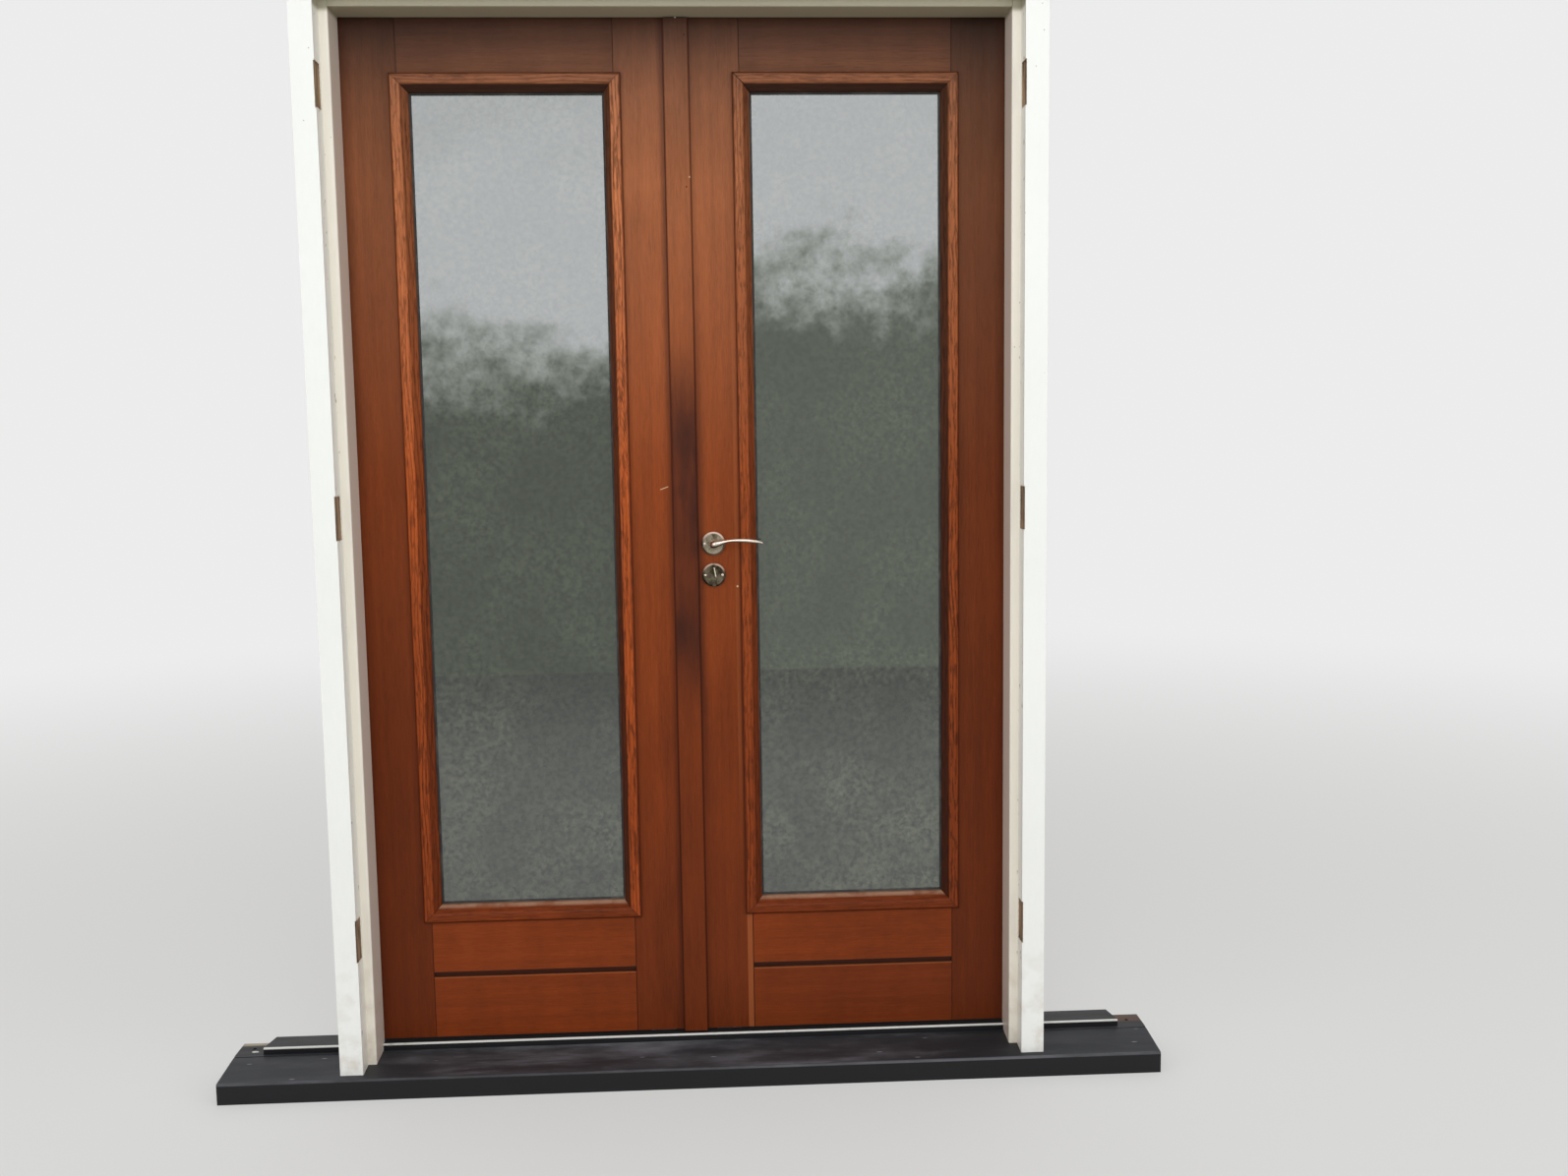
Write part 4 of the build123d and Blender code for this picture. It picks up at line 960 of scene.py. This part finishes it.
# Section of the sealant in mm as (inset from the moulding's edge, height over the glass)
SEALANT_PROFILE = ((-0.5, 0.0), (-0.5, 2.4), (2.0, 1.8), (4.5, 0.05))


def sealant_line(leaf, material):
    """Dark sealant round the visible edge of the glass."""
    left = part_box(leaf + "_moulding_left")[1].x
    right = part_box(leaf + "_moulding_right")[0].x
    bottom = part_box(leaf + "_moulding_bottom")[1].z
    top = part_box(leaf + "_moulding_top")[0].z
    mesh = bmesh.new()
    rings = []
    for inset, stand in SEALANT_PROFILE:
        y = PANE_LOW.y - stand * MM
        west, east = left + inset * MM, right - inset * MM
        foot, head = bottom + inset * MM, top - inset * MM
        corners = ((west, foot), (east, foot), (east, head), (west, head))
        rings.append([mesh.verts.new((x, y, z)) for x, z in corners])
    for lower, upper in zip(rings, rings[1:] + rings[:1]):
        for index in range(4):
            following = (index + 1) % 4
            mesh.faces.new((lower[index], lower[following], upper[following], upper[index]))
    finish_piece(leaf + "_sealant", mesh, material, leaf + "_leaf", smooth=False)


# Stage, with the background's strength where it is seen or mirrored and its strength as a light

BACKGROUND = 0.84
AMBIENT = 0.54
FLOOR = srgb(226, 225, 222)
FLOOR_HALF = 30.0


def either(tree, first, second):
    """Larger of two values."""
    larger = tree.nodes.new("ShaderNodeMath")
    larger.operation = "MAXIMUM"
    tree.links.new(first, larger.inputs[0])
    tree.links.new(second, larger.inputs[1])
    return larger.outputs[0]


def mirrored(tree):
    """1 for rays mirrored or passed on by glass and metal."""
    path = tree.nodes.new("ShaderNodeLightPath")
    return either(tree, path.outputs["Is Glossy Ray"], path.outputs["Is Transmission Ray"])


def seen_or_mirrored(tree):
    """1 for rays from the camera and for rays mirrored or passed on by glass and metal."""
    path = tree.nodes.new("ShaderNodeLightPath")
    return either(tree, path.outputs["Is Camera Ray"], mirrored(tree))


def stage_object(name, mesh, material):
    """Object of the stage from a bmesh."""
    data = bpy.data.meshes.new(name)
    mesh.to_mesh(data)
    mesh.free()
    data.materials.append(material)
    made = bpy.data.objects.new(name, data)
    bpy.context.scene.collection.objects.link(made)
    return made


def add_floor():
    """Pale plain floor that keeps its shadow near the object and fades into the pale background."""
    t = Tree("floor_finish")
    t.set(Base_Color=FLOOR, Roughness=0.9, Specular_IOR_Level=0.1)
    away = t.length(t.moved((0, 0.3, 0), (1, 1, 0)))
    tree = t.material.node_tree
    share = t.product(seen_or_mirrored(tree), t.remap(away, 1.2, 8.0, 0.42, 1.0))
    dimmed = t.product(mirrored(tree), t.remap(away, 0.8, 4.4, 0.0, -0.45))
    strength = t.product(t.math("ADD", 1.0, dimmed), BACKGROUND)
    glow = t.node("ShaderNodeEmission", [(1.0, 1.0, 1.0, 1.0), strength])
    mixed = t.node("ShaderNodeMixShader", [share])
    t.links.new(t.shader.outputs[0], mixed.inputs[1])
    t.links.new(glow.outputs[0], mixed.inputs[2])
    t.links.new(mixed.outputs[0], t.nodes["Material Output"].inputs["Surface"])
    mesh = bmesh.new()
    bmesh.ops.create_grid(mesh, x_segments=1, y_segments=1, size=FLOOR_HALF)
    stage_object("floor", mesh, t.material)


CARD_Y = -5.0
CARD_CORNERS = ((-4.0, 0.02), (-4.0, 3.75), (4.0, 3.75), (4.0, 0.02))
CARD_GLOW = 3.3
CARD_DIM = 0.60
CARD_BRIGHT_HALF = 1.9


def add_front_card():
    """Large soft front light over a dimmer lower part, with a soft, mottled change between them."""
    t = Tree("front_card")
    clouds = t.swing(t.noise(0.9, t.moved((3, 0, 5), (1, 1, 2.2)), detail=4.0))
    leaves = t.swing(t.noise(5.5, t.moved((1, 0, 2)), detail=6.0, roughness=0.7))
    slope = t.remap(t.x, -0.4, 0.4, 0.0, -0.45)
    edge = t.total(t.z, slope, t.product(clouds, 0.14), t.product(leaves, 0.24))
    inside = t.remap(t.math("ABSOLUTE", t.x), CARD_BRIGHT_HALF, CARD_BRIGHT_HALF + 0.4, 1.0, 0.0)
    high = t.product(t.remap(t.z, 2.5, 3.5, 1.08, 0.90), t.remap(t.x, -0.6, 0.6, 1.0, 1.14))
    bright = t.product(t.remap(edge, 1.55, 2.25), inside, t.total(high, t.product(clouds, 0.10)))
    dim = t.product(t.remap(t.x, -0.5, 0.5, 1.0, 1.30), CARD_DIM)
    strength = t.blend(bright, dim, CARD_GLOW)
    tint = t.mix(bright, srgb(238, 246, 232), srgb(247, 250, 252))
    glow = t.node("ShaderNodeEmission", [tint, strength])
    t.links.new(glow.outputs[0], t.nodes["Material Output"].inputs["Surface"])
    mesh = bmesh.new()
    mesh.faces.new([mesh.verts.new((x, CARD_Y, z)) for x, z in CARD_CORNERS])
    stage_object("front_card", mesh, t.material).visible_camera = False


# Soft lamps as (name, place, width, height, power): one above for the head's shade, two for the reveals
LAMP_TARGET = Vector((0.0, 0.1, 0.9))
LAMPS = (
    ("top_light", (-0.1, -3.4, 4.3), 3.2, 1.3, 21.0),
    ("left_light", (-3.4, -2.6, 1.5), 1.6, 1.8, 27.0),
    ("right_light", (3.4, -2.6, 1.5), 1.6, 1.8, 29.0),
)


def add_lamps():
    """Soft lamps in front of the object."""
    for name, place, width, height, power in LAMPS:
        data = bpy.data.lights.new(name, "AREA")
        data.shape = "RECTANGLE"
        data.size = width
        data.size_y = height
        data.energy = power
        lamp = bpy.data.objects.new(name, data)
        lamp.location = place
        direction = LAMP_TARGET - lamp.location
        lamp.rotation_euler = direction.to_track_quat("-Z", "Y").to_euler()
        lamp.visible_camera = False
        bpy.context.scene.collection.objects.link(lamp)


def add_world():
    """Even surroundings: pale where they are seen or mirrored, softer as a light."""
    world = bpy.data.worlds.new("surroundings")
    bpy.context.scene.world = world
    world.use_nodes = True
    tree = world.node_tree
    background = tree.nodes["Background"]
    strength = tree.nodes.new("ShaderNodeMapRange")
    strength.inputs["To Min"].default_value = AMBIENT
    strength.inputs["To Max"].default_value = BACKGROUND
    tree.links.new(seen_or_mirrored(tree), strength.inputs["Value"])
    tree.links.new(strength.outputs[0], background.inputs["Strength"])
    background.inputs["Color"].default_value = (1.0, 1.0, 1.0, 1.0)


def add_camera():
    """Camera at the photograph's place."""
    data = bpy.data.cameras.new("camera")
    data.lens = LENS
    data.sensor_width = SENSOR
    data.sensor_fit = "HORIZONTAL"
    data.clip_end = 100.0
    camera = bpy.data.objects.new("camera", data)
    ahead = Vector((math.sin(YAW), math.cos(YAW), 0))
    right = Vector((math.cos(YAW), -math.sin(YAW), 0))
    tipped = ahead * math.cos(PITCH) - UP * math.sin(PITCH)
    upward = UP * math.cos(PITCH) + ahead * math.sin(PITCH)
    rolled_right = right * math.cos(ROLL) + upward * math.sin(ROLL)
    rolled_up = upward * math.cos(ROLL) - right * math.sin(ROLL)
    turn = Matrix((rolled_right, rolled_up, -tipped)).transposed()
    camera.matrix_world = Matrix.Translation(CAMERA_PLACE) @ turn.to_4x4()
    bpy.context.scene.collection.objects.link(camera)
    bpy.context.scene.camera = camera


dress_leaves()
satin, bright, zinc, seal = dress_fittings()
add_rose_screws(bright)
add_keep_screws(zinc)
add_lock_screws(satin)
add_hinge_screws(zinc)
lever("outside_lever_smooth", "outside_lever", ROSE_LOW.y - 0.3 * MM, -1, bright)
lever("inside_lever_smooth", "inside_lever", ROSE_HIGH.y + 0.3 * MM, 1, bright)
sealant_line("left", seal)
sealant_line("right", seal)
add_floor()
add_front_card()
add_lamps()
add_world()
add_camera()
bpy.context.scene.view_settings.view_transform = "Standard"
